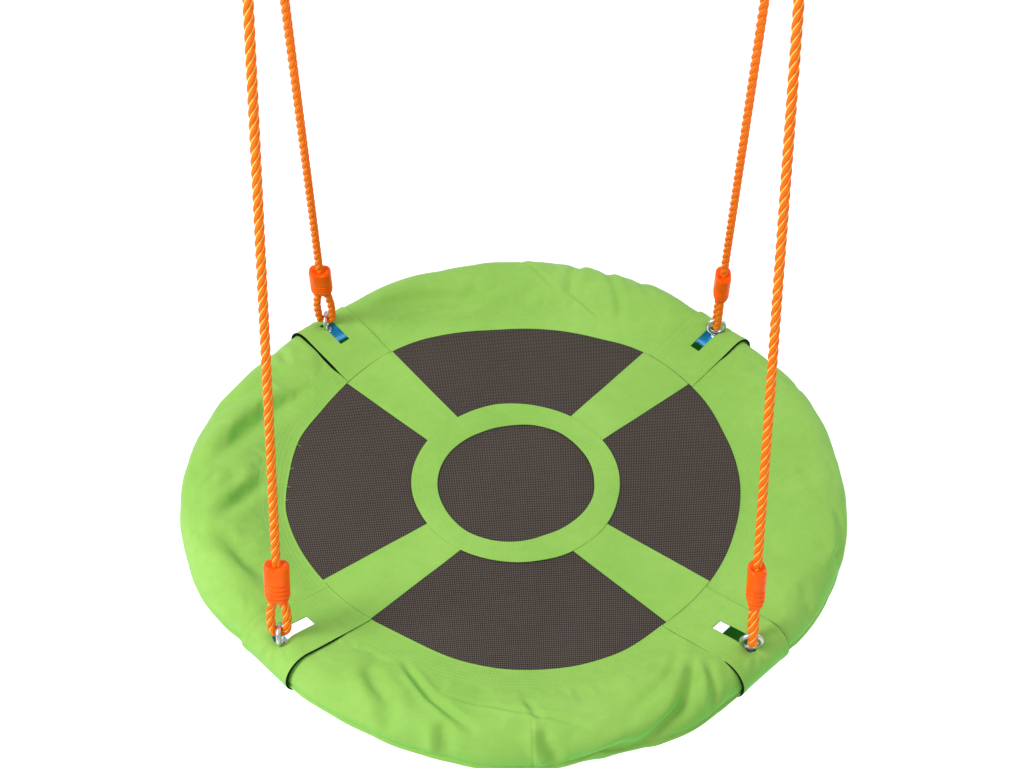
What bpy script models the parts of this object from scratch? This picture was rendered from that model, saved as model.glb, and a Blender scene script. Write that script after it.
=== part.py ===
"""Saucer nest swing: a padded ring with a mesh seat, hung by four ropes from two spring hooks.

Metres, +Z up. The origin is midway between the two hooks, level with the inside of their
top bows, where the supports bear. The seat hangs below it. "Front" is towards -Y.
"""
import math

import bmesh
import bpy
from mathutils import Matrix, Vector

# Driving dimensions
BOLT_OFFSET = 0.32           # each eyebolt's distance from the seat's centre, along X and along Y
COVER_R = 0.4925             # outer radius of the padded border
MESH_R = 0.343               # radius of the seam between the border and the mesh
MESH_DROP = 1.4104           # the mesh lies this far below the origin
HANG_HALF = 0.29             # half the distance between the two hooks

# Frame and padding
FRAME_R = BOLT_OFFSET * math.sqrt(2)
TUBE_Z = -0.004              # the tube ring's centre line, above the mesh
TUBE_R = 0.016
TUBE_WALL = 0.0015
SWAGE_R = 0.0141             # reduced end, inside the next tube
SWAGE_LENGTH = 0.045
SWAGE_SHOULDER = 0.004
FOAM_R = 0.0365
SLEEVE_R = COVER_R - FRAME_R
CLOTH = 0.0020
ARC_STEP = 7.5               # degrees between the stations of every arc of the seat
GAP = 0.0003                 # between pieces that touch
INWARD = -1.0                # a shell's wall lies inside its outline

# Seat cover
PANEL_HALF = 0.0010
BAND_INNER_R = 0.1195
BAND_OUTER_R = 0.1615
BAND_THICK = 0.0012
SPOKE_HALF = 0.035           # at the centre band
PATCH_HALF = 0.048
PATCH_R = 0.031              # about the tube's centre line
SLOT_HALF = 0.009
SLOT_INNER_R = 0.400
SLOT_OUTER_R = 0.458
EYE_HOLE_R = 0.0185
UNDER_OPENING = (0.352, 0.424)     # inner and outer radius of the opening beneath the slot
UNDER_HALF = 0.042
PATCH_CUT = 0.1              # the patch's cutters reach this far up and down

# Eyebolts
SHANK_R = 0.004
BORE_R = 0.0043
BORE_REACH = 0.03            # bores are cut well past both faces
EYE_R = 0.0135               # mean radius of the eye
EYE_WIRE_R = 0.0035
COLLAR_R = 0.0085
COLLAR_HEIGHT = 0.003
EYE_Z = TUBE_Z + TUBE_R + GAP + COLLAR_HEIGHT + EYE_R + EYE_WIRE_R - 0.001
WASHER_R = 0.0090
WASHER_THICK = 0.0016
NUT_R = 0.0075
NUT_HEIGHT = 0.0068
SHANK_BELOW = 0.0105         # length of shank below the tube

# Ropes and clamps
ROPE_R = 0.006
EYE_CLEARANCE = 0.001        # between a rope's eye and the wire it goes round
LEG_HALF = 0.0112            # half the distance between the two legs of an eye
MOUTH_HALF = 0.0070          # the same where they enter the clamp
TAIL_IN_CLAMP = 0.45         # share of the clamp's length that the rope's tail reaches
TAIL_HALF = 0.0094           # the tail's tip lies this far from the clamp's middle
LEAD_HALF = 0.0032           # and beside it the rope that goes on
BEND_STEPS = 6
CLAMP_LENGTH = 0.062
CLAMP_HALF_WIDTH = 0.0175
CLAMP_FLATNESS = 0.72
# the clamp's outline: share of its length from the mouth, share of its half width
CLAMP_SHAPE = ((0.0, 0.80), (0.16, 0.97), (0.30, 0.97), (0.34, 1.0), (0.54, 1.0), (0.58, 0.97),
               (0.90, 0.97), (1.0, 0.80))
LOWER_EYE = {(-1, -1): 0.0440, (1, -1): 0.0540, (-1, 1): 0.0680, (1, 1): 0.0680}   # side, end
UPPER_EYE = 0.0660
ROPE_POINT_GAP = 0.036

# Hanging rings and spring hooks
WIRE_R = 0.004
RING_R = 0.038
RING_PLAY = 0.0014
HOOK_BOW_R = 0.016
HOOK_LENGTH = 0.080          # over all
HOOK_TOP_BOW_Z = WIRE_R - HOOK_BOW_R     # the inside of the top bow is at the origin's level
HOOK_LOW_BOW_Z = HOOK_TOP_BOW_Z - (HOOK_LENGTH - 2 * WIRE_R - 2 * HOOK_BOW_R)
HOOK_LOW_Z = HOOK_LOW_BOW_Z - HOOK_BOW_R
RING_Z = HOOK_LOW_Z + 2 * WIRE_R + RING_PLAY - RING_R
GATE_PIN_Z = HOOK_LOW_BOW_Z + 0.0095     # the gate closes the straight run between the bows
GATE_TOP_Z = HOOK_TOP_BOW_Z - 0.0058
GATE_BELOW_PIN = 0.0035
PIN_R = 0.0015
PIN_BORE_R = 0.0018
TONGUE_HALF = 0.0017         # the hook's flattened ends, half their thickness
TONGUE_BELOW_PIN = 0.0055
NOSE_ABOVE_GATE = 0.0008
WIRE_END_RUN = 0.004         # straight wire between each flattened end and its bow
FORK_HALF = 0.0020           # the slots in the gate's ends, half their width
FORK_ABOVE_PIN = 0.006
CLAW_BELOW_TOP = 0.005
CUT_WIDTH = 0.012
CUT_DEPTH = 0.010
CUT_RUN = 0.02               # cutters run on this far past what they cut

SIDES = {"left": -1, "right": 1}
ENDS = {"front": -1, "rear": 1}
QUARTERS = {"right": 0, "rear": 90, "left": 180, "front": 270}
TUBE_SIDES = 12
SWING = bpy.data.collections.new("saucer_nest_swing")
CUTTERS = bpy.data.collections.new("cutters")


def clear_scene():
    for old in list(bpy.data.objects):
        bpy.data.objects.remove(old, do_unlink=True)
    for collection in (SWING, CUTTERS):
        bpy.context.scene.collection.children.link(collection)


def material(name, colour, roughness, metallic=0.0):
    made = bpy.data.materials.new(name)
    made.use_nodes = True
    shader = made.node_tree.nodes["Principled BSDF"]
    shader.inputs["Base Color"].default_value = (*colour, 1.0)
    shader.inputs["Roughness"].default_value = roughness
    shader.inputs["Metallic"].default_value = metallic
    made.diffuse_color = (*colour, 1.0)
    return made


# Helpers: every piece is a mesh object made from a primitive, a curve or a turned profile

def add_mesh(name, mesh, collection=SWING):
    made = bpy.data.objects.new(name, mesh)
    collection.objects.link(made)
    return made


def evaluated_mesh(source):
    """The object's mesh with its modifiers applied, its caps welded, in world space."""
    bpy.context.view_layer.update()
    graph = bpy.context.evaluated_depsgraph_get()
    mesh = bpy.data.meshes.new_from_object(source.evaluated_get(graph))
    mesh.transform(source.matrix_world)
    shape = bmesh.new()
    shape.from_mesh(mesh)
    bmesh.ops.remove_doubles(shape, verts=shape.verts, dist=0.00001)
    bmesh.ops.recalc_face_normals(shape, faces=shape.faces)
    shape.to_mesh(mesh)
    shape.free()
    return mesh


def settle(source, name):
    """Replace an object by a plain mesh object of its evaluated shape."""
    mesh = evaluated_mesh(source)
    bpy.data.objects.remove(source, do_unlink=True)
    mesh.name = name
    return add_mesh(name, mesh)


def combine(base, others, operation):
    """Boolean the others into base, and remove them."""
    name = base.name
    for other in others:
        step = base.modifiers.new(operation.lower(), "BOOLEAN")
        step.operation = operation
        step.object = other
        step.solver = "EXACT"
    made = settle(base, "combined")
    for other in others:
        bpy.data.objects.remove(other, do_unlink=True)
    made.name = name
    made.data.name = name
    return made


def cutter(name, mesh):
    made = add_mesh(name, mesh, CUTTERS)
    made.display_type = "WIRE"
    made.hide_render = True
    return made


def box(name, size, centre, turn_z=0.0, make=add_mesh):
    mesh = bpy.data.meshes.new(name)
    shape = bmesh.new()
    bmesh.ops.create_cube(shape, size=1.0)
    bmesh.ops.scale(shape, verts=shape.verts, vec=size)
    shape.to_mesh(mesh)
    shape.free()
    mesh.transform(Matrix.Rotation(turn_z, 4, "Z") @ Matrix.Translation(centre))
    return make(name, mesh)


def rod(name, radius, start, end, sides=TUBE_SIDES, make=add_mesh):
    """A solid cylinder from start to end."""
    start, end = Vector(start), Vector(end)
    mesh = bpy.data.meshes.new(name)
    shape = bmesh.new()
    length = (end - start).length
    bmesh.ops.create_cone(
        shape, cap_ends=True, segments=sides, radius1=radius, radius2=radius, depth=length
    )
    shape.to_mesh(mesh)
    shape.free()
    turn = (end - start).to_track_quat("Z", "Y").to_matrix().to_4x4()
    mesh.transform(Matrix.Translation((start + end) / 2) @ turn)
    return make(name, mesh)


def torus(name, centre, axis, radius, wire_radius, around, sides):
    bpy.ops.mesh.primitive_torus_add(
        major_radius=radius,
        minor_radius=wire_radius,
        major_segments=around,
        minor_segments=sides,
    )
    made = bpy.context.object
    turn = Vector(axis).to_track_quat("Z", "Y").to_matrix().to_4x4()
    made.data.transform(Matrix.Translation(centre) @ turn)
    for collection in list(made.users_collection):
        collection.objects.unlink(made)
    SWING.objects.link(made)
    made.name = name
    made.data.name = name
    return made


def wire(name, points, radius, radii=None, filled=True, wall=0.0):
    """A round bar along the points, or an open tube when it has a wall."""
    curve = bpy.data.curves.new(name, "CURVE")
    curve.dimensions = "3D"
    curve.bevel_depth = radius
    curve.bevel_resolution = 2
    curve.use_fill_caps = filled
    spline = curve.splines.new("POLY")
    spline.points.add(len(points) - 1)
    for index, place in enumerate(points):
        spline.points[index].co = (*place, 1.0)
        spline.points[index].radius = radii[index] / radius if radii else 1.0
    made = add_mesh("route", curve)
    if wall:
        shell = made.modifiers.new("wall", "SOLIDIFY")
        shell.thickness = wall
        shell.offset = INWARD
    return settle(made, name)


def turned(name, profile, steps, sweep=2 * math.pi):
    """A profile of (radius, height) points turned about Z; it is a loop if its ends meet."""
    loop = profile[0] == profile[-1]
    points = profile[:-1] if loop else profile
    count = len(points)
    edges = [(i, (i + 1) % count) for i in range(count if loop else count - 1)]
    mesh = bpy.data.meshes.new(name)
    mesh.from_pydata([(r, 0.0, z) for r, z in points], edges, [])
    made = add_mesh("profile", mesh)
    screw = made.modifiers.new("turn", "SCREW")
    screw.angle = sweep
    screw.steps = screw.render_steps = steps
    screw.use_merge_vertices = True
    screw.merge_threshold = 0.00001
    return made


def finish(piece, look, centre=(0.0, 0.0, 0.0), parent=None):
    """Colour a piece, put its origin at centre and parent it."""
    piece.data.materials.clear()
    piece.data.materials.append(look)
    piece.data.transform(Matrix.Translation(-Vector(centre)))
    piece.location = centre
    piece.data.shade_smooth()
    piece.data.set_sharp_from_angle(angle=math.radians(35))
    if parent:
        piece.parent = parent
        piece.location = Vector(centre) - Vector(parent.location)
    return piece


def joint_empty(name, place):
    made = bpy.data.objects.new(name, None)
    made.location = place
    SWING.objects.link(made)
    return made


# Shapes shared by several pieces

def teardrop(seam_r, wrap_r, steps):
    """A closed (radius, height) outline: round about the tube, drawn in to the seam."""
    reach = FRAME_R - seam_r
    tangent = math.pi - math.acos(wrap_r / reach)
    outline = [(seam_r, 0.0)]
    for i in range(steps + 1):
        angle = tangent - 2 * tangent * i / steps
        outline.append((FRAME_R + wrap_r * math.cos(angle), wrap_r * math.sin(angle)))
    # the wrap is round about the tube, which lies a little below the seam
    drop = [(r, z + TUBE_Z * min(1.0, (r - seam_r) / reach)) for r, z in outline]
    return drop + [drop[0]]


def smooth_route(points, spacing):
    """Evenly spaced points on a Catmull-Rom curve through the route's own points."""
    ends = [2 * points[0] - points[1]] + points + [2 * points[-1] - points[-2]]
    fine = []
    for a, b, c, d in zip(ends, ends[1:], ends[2:], ends[3:]):
        count = max(1, round((c - b).length / spacing))
        for i in range(count):
            t = i / count
            fine.append(
                0.5 * (2 * b + (c - a) * t + (2 * a - 5 * b + 4 * c - d) * t * t
                       + (3 * b - a - 3 * c + d) * t ** 3)
            )
    return fine + [points[-1]]


def on_seat(x, y, z):
    """A point given from the seat's centre, in the object's own frame."""
    return Vector((x, y, z - MESH_DROP))


def to_corner(side, end):
    """The turn about Z that carries +X to the corner on that side and end."""
    return math.atan2(end, side)


# Frame, padding and seat cover

def frame_tube(middle):
    """A quarter of the ring, with its reduced end inside the next quarter's open end."""
    start, stop = middle - 45, middle + 45
    half = math.degrees(SWAGE_LENGTH / FRAME_R) / 2
    shoulder = math.degrees(SWAGE_SHOULDER / FRAME_R)
    plug = [start - half, start, start + half]
    body = [start + half + shoulder]
    body += [start + ARC_STEP * i for i in range(1, round(90 / ARC_STEP))]
    body += [stop - half, stop, stop + half - math.degrees(GAP / FRAME_R)]
    points = [on_ring(angle) for angle in plug + body]
    radii = [SWAGE_R] * len(plug) + [TUBE_R] * len(body)
    tube = wire("tube", points, TUBE_R, radii, filled=False, wall=TUBE_WALL)
    past = Vector((0, 0, BORE_REACH))
    bores = [
        rod("bore", BORE_R, on_ring(end) - past, on_ring(end) + past, make=cutter)
        for end in (start, stop)
    ]
    return combine(tube, bores, "DIFFERENCE")


def foam_sleeve(middle):
    """Foam pipe on the tube, from corner to corner."""
    count = round(90 / ARC_STEP)
    points = [on_ring(middle - 45 + ARC_STEP * i) for i in range(1, count)]
    return wire("foam", points, FOAM_R, filled=False, wall=FOAM_R - TUBE_R - 2 * GAP)


def on_ring(angle):
    a = math.radians(angle)
    return on_seat(FRAME_R * math.cos(a), FRAME_R * math.sin(a), TUBE_Z)


def corner_lane(angle, half, reach=(0.2, 0.6)):
    """A tall box along a corner's radius, for cutting the border back beside the patch."""
    middle = (reach[0] + reach[1]) / 2
    size = (reach[1] - reach[0], 2 * half, 0.2)
    return box("lane", size, (middle, 0, -MESH_DROP), math.radians(angle), cutter)


def border_sleeve(middle):
    """The quarter of the cover that is pulled over the foam, open at both ends."""
    outline = teardrop(MESH_R, SLEEVE_R, 10)
    piece = turned("sleeve", outline, round(90 / ARC_STEP), math.pi / 2)
    shell = piece.modifiers.new("cloth", "SOLIDIFY")
    shell.thickness = CLOTH
    shell.offset = INWARD
    piece.location = (0, 0, -MESH_DROP)
    piece.rotation_euler = (0, 0, math.radians(middle - 45))
    piece = settle(piece, "sleeve")
    lanes = [corner_lane(middle + end, PATCH_HALF + GAP) for end in (-45, 45)]
    return combine(piece, lanes, "DIFFERENCE")


def corner_patch(angle):
    """The strip that goes round the bare tube at a corner, with its slot."""
    outline = teardrop(MESH_R + GAP, PATCH_R, 14)
    mesh = bpy.data.meshes.new("patch")
    shape = bmesh.new()
    rows = [
        [shape.verts.new((r, side * PATCH_HALF, z)) for r, z in outline[:-1]]
        for side in (-1, 1)
    ]
    for i in range(len(rows[0])):
        j = (i + 1) % len(rows[0])
        shape.faces.new((rows[0][i], rows[1][i], rows[1][j], rows[0][j]))
    bmesh.ops.recalc_face_normals(shape, faces=shape.faces)
    shape.to_mesh(mesh)
    shape.free()
    patch = add_mesh("patch", mesh)
    shell = patch.modifiers.new("cloth", "SOLIDIFY")
    shell.thickness = CLOTH * 0.75
    shell.offset = INWARD
    patch = settle(patch, "patch")
    slot_size = (SLOT_OUTER_R - SLOT_INNER_R, 2 * SLOT_HALF, 2 * PATCH_CUT)
    slot = box("slot", slot_size, ((SLOT_OUTER_R + SLOT_INNER_R) / 2, 0, 0), make=cutter)
    inner, outer = UNDER_OPENING
    under_size = (outer - inner, 2 * UNDER_HALF, PATCH_CUT)
    under = box("under", under_size, ((inner + outer) / 2, 0, -PATCH_CUT / 2), make=cutter)
    eye_hole = rod("eye_hole", EYE_HOLE_R, (FRAME_R, 0, 0), (FRAME_R, 0, PATCH_CUT), 20, cutter)
    patch = combine(patch, [slot, under, eye_hole], "DIFFERENCE")
    patch.location = (0, 0, -MESH_DROP)
    patch.rotation_euler = (0, 0, math.radians(angle))
    return settle(patch, "patch")


def mesh_panel():
    outline = [(0.0, PANEL_HALF), (MESH_R - GAP, PANEL_HALF), (MESH_R - GAP, -PANEL_HALF),
               (0.0, -PANEL_HALF)]
    piece = turned("panel", outline, round(360 / ARC_STEP))
    piece.location = (0, 0, -MESH_DROP)
    return settle(piece, "panel")


def centre_band():
    low, high = PANEL_HALF + GAP, PANEL_HALF + GAP + BAND_THICK
    outline = [(BAND_INNER_R, high), (BAND_OUTER_R, high), (BAND_OUTER_R, low),
               (BAND_INNER_R, low), (BAND_INNER_R, high)]
    piece = turned("band", outline, round(360 / ARC_STEP))
    piece.location = (0, 0, -MESH_DROP)
    return settle(piece, "band")


def flat_outline(name, corners, thickness):
    """A flat plate of the outline's shape, centred on its own plane."""
    curve = bpy.data.curves.new(name, "CURVE")
    curve.dimensions = "2D"
    curve.fill_mode = "BOTH"
    curve.extrude = thickness / 2
    spline = curve.splines.new("POLY")
    spline.points.add(len(corners) - 1)
    for point, (x, y) in zip(spline.points, corners):
        point.co = (x, y, 0, 1)
    spline.use_cyclic_u = True
    return add_mesh(name, curve)


def spoke_band(angle):
    inner, outer = BAND_OUTER_R + 2 * GAP, MESH_R - 2 * GAP
    corners = [(inner, -SPOKE_HALF), (outer, -PATCH_HALF), (outer, PATCH_HALF), (inner, SPOKE_HALF)]
    piece = flat_outline("spoke", corners, BAND_THICK)
    piece.location = on_seat(0, 0, PANEL_HALF + GAP + BAND_THICK / 2)
    piece.rotation_euler = (0, 0, math.radians(angle))
    return settle(piece, "spoke")


# Eyebolts and their fasteners

def eye_centre(side, end):
    return on_seat(side * BOLT_OFFSET, end * BOLT_OFFSET, EYE_Z)


def eye_axis(side):
    """The left eyes are seen edge-on from the front, the right ones face-on."""
    return Vector((1, 0, 0)) if side < 0 else Vector((0, 1, 0))


def eyebolt(side, end):
    centre = eye_centre(side, end)
    x, y, _ = centre
    seat_z = TUBE_Z + TUBE_R + GAP - MESH_DROP
    low_z = TUBE_Z - TUBE_R - SHANK_BELOW - MESH_DROP
    eye = torus("eye", centre, eye_axis(side), EYE_R, EYE_WIRE_R, 16, 8)
    shank = rod("shank", SHANK_R, (x, y, low_z), (x, y, centre.z - EYE_R))
    collar = rod("collar", COLLAR_R, (x, y, seat_z), (x, y, seat_z + COLLAR_HEIGHT), 16)
    return combine(eye, [shank, collar], "UNION")


def washer(side, end):
    x, y, _ = eye_centre(side, end)
    top = TUBE_Z - TUBE_R - GAP - MESH_DROP
    disc = rod("washer", WASHER_R, (x, y, top - WASHER_THICK), (x, y, top), 16)
    bore = rod("bore", BORE_R, (x, y, top - BORE_REACH), (x, y, top + BORE_REACH), make=cutter)
    return combine(disc, [bore], "DIFFERENCE")


def lock_nut(side, end):
    x, y, _ = eye_centre(side, end)
    top = TUBE_Z - TUBE_R - WASHER_THICK - 2 * GAP - MESH_DROP
    nut = rod("nut", NUT_R, (x, y, top - NUT_HEIGHT), (x, y, top), 6)
    bore = rod("bore", BORE_R, (x, y, top - BORE_REACH), (x, y, top + BORE_REACH), make=cutter)
    return combine(nut, [bore], "DIFFERENCE")


# Ropes: each has an eye round its eyebolt, an eye round the hanging ring, and a clamp on each

def ring_centre(side):
    return Vector((side * HANG_HALF, 0, RING_Z))


def rope_frames(side, end):
    """For each end of a rope: the wire's centre in its eye, the way out along the rope, and
    the way across the eye."""
    low, high = eye_centre(side, end), ring_centre(side)
    up = (high - low).normalized()
    in_eye_plane = (up - eye_axis(side) * up.dot(eye_axis(side))).normalized()
    in_ring_plane = Vector((0, up.y, up.z)).normalized()
    across_low = eye_axis(side) - up * up.dot(eye_axis(side))
    across_high = Vector((1, 0, 0)) - up * up.x
    lower = (low + in_eye_plane * EYE_R, up, across_low.normalized())
    upper = (high - in_ring_plane * RING_R, -up, across_high.normalized())
    return lower, upper


def eye_route(frame, wire_r, length):
    """The tail, the two legs and the bend of one eye, ending at the top of its clamp.

    Each place is (distance along the rope from the eye's wire, distance across the eye).
    """
    centre, out, across = frame
    bend_r = wire_r + ROPE_R + EYE_CLEARANCE
    tail_tip = length + TAIL_IN_CLAMP * CLAMP_LENGTH
    local = [
        (tail_tip, -TAIL_HALF),
        ((length + tail_tip) / 2, -(TAIL_HALF + MOUTH_HALF) / 2),
        (length, -MOUTH_HALF),
        (length / 2, -LEG_HALF),
    ]
    for i in range(BEND_STEPS + 1):
        angle = math.pi * i / BEND_STEPS
        local.append((-bend_r * math.sin(angle), -bend_r * math.cos(angle)))
    local += [
        (length / 2, LEG_HALF),
        (length, MOUTH_HALF),
        (length + TAIL_IN_CLAMP * CLAMP_LENGTH, LEAD_HALF),
        (length + CLAMP_LENGTH, 0.0),
    ]
    return [centre + out * a + across * b for a, b in local]


def rope_route(side, end):
    lower, upper = rope_frames(side, end)
    bottom = eye_route(lower, EYE_WIRE_R, LOWER_EYE[side, end])
    top = eye_route(upper, WIRE_R, UPPER_EYE)
    return smooth_route(bottom + top[::-1], ROPE_POINT_GAP)


def clamp_profile(length):
    """From the tapered mouth, where the two legs enter, to the shoulder, where one leaves."""
    outline = [(0.0, length)]
    for along, width in reversed(CLAMP_SHAPE):
        outline.append((CLAMP_HALF_WIDTH * width, length * along))
    return outline + [(0.0, 0.0)]


def rope_clamp(frame, length, rope_points):
    """The moulded clamp on an eye, bored to the rope's own route."""
    centre, out, across = frame
    piece = turned("clamp", clamp_profile(CLAMP_LENGTH), 12)
    turn = Matrix((across, out.cross(across), out)).transposed().to_4x4()
    flatten = Matrix.Diagonal((1.0, CLAMP_FLATNESS, 1.0, 1.0))
    piece.matrix_world = Matrix.Translation(centre + out * length) @ turn @ flatten
    piece = settle(piece, "clamp")
    bore = wire("bore", rope_points, ROPE_R + GAP)
    return combine(piece, [bore], "DIFFERENCE")


# Rings and spring hooks

def hook_outline(side):
    """The wire's centre line, from the gate's pin round both bows to the nose."""
    gate_x = side * HOOK_BOW_R
    bends = 10
    points = [(gate_x, GATE_PIN_Z + GATE_BELOW_PIN), (gate_x, GATE_PIN_Z - WIRE_END_RUN)]
    for i in range(bends + 1):
        a = math.pi * i / bends
        points.append((gate_x * math.cos(a), HOOK_LOW_BOW_Z - HOOK_BOW_R * math.sin(a)))
    for i in range(bends + 1):
        a = math.pi * i / bends
        points.append((-gate_x * math.cos(a), HOOK_TOP_BOW_Z + HOOK_BOW_R * math.sin(a)))
    points.append((gate_x, GATE_TOP_Z - WIRE_END_RUN))
    return [Vector((side * HANG_HALF + x, 0, z)) for x, z in points]


def beside(name, x, low_z, high_z, half):
    """Two cutters that leave a blade of this half thickness between them."""
    size = (CUT_WIDTH, CUT_DEPTH, high_z - low_z)
    return [
        box(name, size, (x, face * (half + size[1] / 2), (low_z + high_z) / 2), make=cutter)
        for face in (-1, 1)
    ]


def gate_x(side):
    return side * (HANG_HALF + HOOK_BOW_R)


def hook_body(side):
    body = wire("hook", hook_outline(side), WIRE_R)
    x = gate_x(side)
    tongue = beside("tongue", x, GATE_PIN_Z - TONGUE_BELOW_PIN, GATE_PIN_Z + CUT_RUN, TONGUE_HALF)
    nose = beside("nose", x, GATE_TOP_Z - CUT_RUN, GATE_TOP_Z + NOSE_ABOVE_GATE, TONGUE_HALF)
    return combine(body, tongue + nose + [pin_bore(x)], "DIFFERENCE")


def pin_bore(x):
    ends = [(x, face * CUT_DEPTH, GATE_PIN_Z) for face in (-1, 1)]
    return rod("bore", PIN_BORE_R, *ends, make=cutter)


def hook_gate(side):
    x = gate_x(side)
    gate = rod("gate", WIRE_R, (x, 0, GATE_PIN_Z - GATE_BELOW_PIN), (x, 0, GATE_TOP_Z))
    size = (CUT_WIDTH, 2 * FORK_HALF, CUT_RUN)
    fork_z = GATE_PIN_Z + FORK_ABOVE_PIN - CUT_RUN / 2
    claw_z = GATE_TOP_Z - CLAW_BELOW_TOP + CUT_RUN / 2
    slots = [box("fork", size, (x, 0, fork_z), make=cutter), box("claw", size, (x, 0, claw_z), make=cutter)]
    return combine(gate, slots + [pin_bore(x)], "DIFFERENCE")


def gate_pin(side):
    x = gate_x(side)
    return rod("pin", PIN_R, (x, -WIRE_R + GAP, GATE_PIN_Z), (x, WIRE_R - GAP, GATE_PIN_Z))


# Assembly

def named(piece, name):
    piece.name = name
    piece.data.name = name
    return piece


def build_hanging(looks):
    """Hooks, rings, ropes and clamps on both sides. Returns each side's lower pivot."""
    for word, side in SIDES.items():
        pin = Vector((gate_x(side), 0, GATE_PIN_Z))
        finish(named(hook_body(side), f"{word}_hook_body"), looks["zinc"])
        finish(named(hook_gate(side), f"{word}_hook_gate"), looks["zinc"], pin)
        finish(named(gate_pin(side), f"{word}_gate_pin"), looks["zinc"], pin)
        swing_axis = joint_empty(f"{word}_ring_axis", (side * HANG_HALF, 0, HOOK_LOW_Z))
        ring = torus("ring", ring_centre(side), (1, 0, 0), RING_R, WIRE_R, 24, 8)
        finish(named(ring, f"{word}_hanging_ring"), looks["zinc"], parent=swing_axis)
        for place, end in ENDS.items():
            rope_points = rope_route(side, end)
            lower, upper = rope_frames(side, end)
            sway_axis = joint_empty(f"{word}_{place}_rope_axis", upper[0])
            for level, frame, length in (
                ("lower", lower, LOWER_EYE[side, end]),
                ("upper", upper, UPPER_EYE),
            ):
                clamp = rope_clamp(frame, length, rope_points)
                named(clamp, f"{word}_{place}_{level}_clamp")
                finish(clamp, looks["clamp"], parent=sway_axis)
            rope = wire("rope", rope_points, ROPE_R)
            finish(named(rope, f"{word}_{place}_rope"), looks["rope"], parent=sway_axis)


def build_seat(looks):
    centre = joint_empty("seat_centre", on_seat(0, 0, 0))
    for word, middle in QUARTERS.items():
        for made, name, look in (
            (frame_tube(middle), f"{word}_frame_tube", "paint"),
            (foam_sleeve(middle), f"{word}_foam_sleeve", "foam"),
            (border_sleeve(middle), f"{word}_border_sleeve", "cover"),
        ):
            finish(named(made, name), looks[look], parent=centre)
    finish(named(mesh_panel(), "mesh_panel"), looks["mesh"], parent=centre)
    finish(named(centre_band(), "centre_band"), looks["cover"], parent=centre)
    for word, side in SIDES.items():
        for place, end in ENDS.items():
            angle = math.degrees(to_corner(side, end))
            for made, name, look in (
                (corner_patch(angle), "corner_patch", "cover"),
                (spoke_band(angle), "spoke_band", "cover"),
                (eyebolt(side, end), "eyebolt", "zinc"),
                (washer(side, end), "washer", "zinc"),
                (lock_nut(side, end), "lock_nut", "zinc"),
            ):
                finish(named(made, f"{word}_{place}_{name}"), looks[look], parent=centre)


def main():
    clear_scene()
    looks = {
        "cover": material("green_cover_cloth", (0.34, 0.62, 0.12), 0.75),
        "mesh": material("dark_seat_mesh", (0.070, 0.057, 0.048), 0.80),
        "rope": material("orange_rope", (0.87, 0.20, 0.012), 0.60),
        "clamp": material("orange_clamp", (1.0, 0.13, 0.007), 0.35),
        "zinc": material("zinc_plated_steel", (0.62, 0.64, 0.66), 0.30, 1.0),
        "paint": material("blue_painted_tube", (0.02, 0.17, 0.55), 0.25),
        "foam": material("grey_foam", (0.30, 0.30, 0.31), 0.90),
    }
    build_hanging(looks)
    build_seat(looks)


main()
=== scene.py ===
import math

import bpy
import numpy as np
from mathutils import Matrix, Vector, noise


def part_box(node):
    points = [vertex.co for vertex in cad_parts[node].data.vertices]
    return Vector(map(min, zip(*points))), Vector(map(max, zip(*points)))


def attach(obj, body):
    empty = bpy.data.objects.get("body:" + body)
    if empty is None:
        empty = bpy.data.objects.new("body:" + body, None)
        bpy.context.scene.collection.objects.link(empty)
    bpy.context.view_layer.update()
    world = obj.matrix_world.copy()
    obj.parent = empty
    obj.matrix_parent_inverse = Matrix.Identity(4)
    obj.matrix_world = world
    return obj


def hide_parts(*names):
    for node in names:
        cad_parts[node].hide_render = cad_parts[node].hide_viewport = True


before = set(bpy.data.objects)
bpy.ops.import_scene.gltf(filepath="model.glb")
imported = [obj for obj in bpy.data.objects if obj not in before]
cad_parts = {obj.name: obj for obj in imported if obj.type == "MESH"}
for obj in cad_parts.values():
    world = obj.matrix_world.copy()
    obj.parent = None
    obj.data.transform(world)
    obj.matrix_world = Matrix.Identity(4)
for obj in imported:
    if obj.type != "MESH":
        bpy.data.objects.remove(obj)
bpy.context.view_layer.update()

# Measures read from the frame
PANEL_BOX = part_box("mesh_panel")
SLEEVE_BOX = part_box("front_border_sleeve")
TUBE_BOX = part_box("front_frame_tube")
BAND_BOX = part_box("centre_band")
RING_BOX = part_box("left_hanging_ring")
HOOK_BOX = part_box("left_hook_body")
BOLT_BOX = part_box("right_front_eyebolt")
GAP = 0.0003
SEAT_Z = (PANEL_BOX[0][2] + PANEL_BOX[1][2]) / 2
MESH_R = PANEL_BOX[1][0] + GAP
TUBE_Z = (TUBE_BOX[0][2] + TUBE_BOX[1][2]) / 2 - SEAT_Z
BOLT_OFFSET = (BOLT_BOX[0][0] + BOLT_BOX[1][0]) / 2
FRAME_R = BOLT_OFFSET * math.sqrt(2)
COVER_R = -SLEEVE_BOX[0][1]
SLEEVE_R = COVER_R - FRAME_R
BAND_OUTER_R = BAND_BOX[1][0]
HANG_HALF = -(HOOK_BOX[0][0] + HOOK_BOX[1][0]) / 2
RING_Z = (RING_BOX[0][2] + RING_BOX[1][2]) / 2
HOOK_TOP_Z, HOOK_BOTTOM_Z = HOOK_BOX[1][2], HOOK_BOX[0][2]

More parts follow.
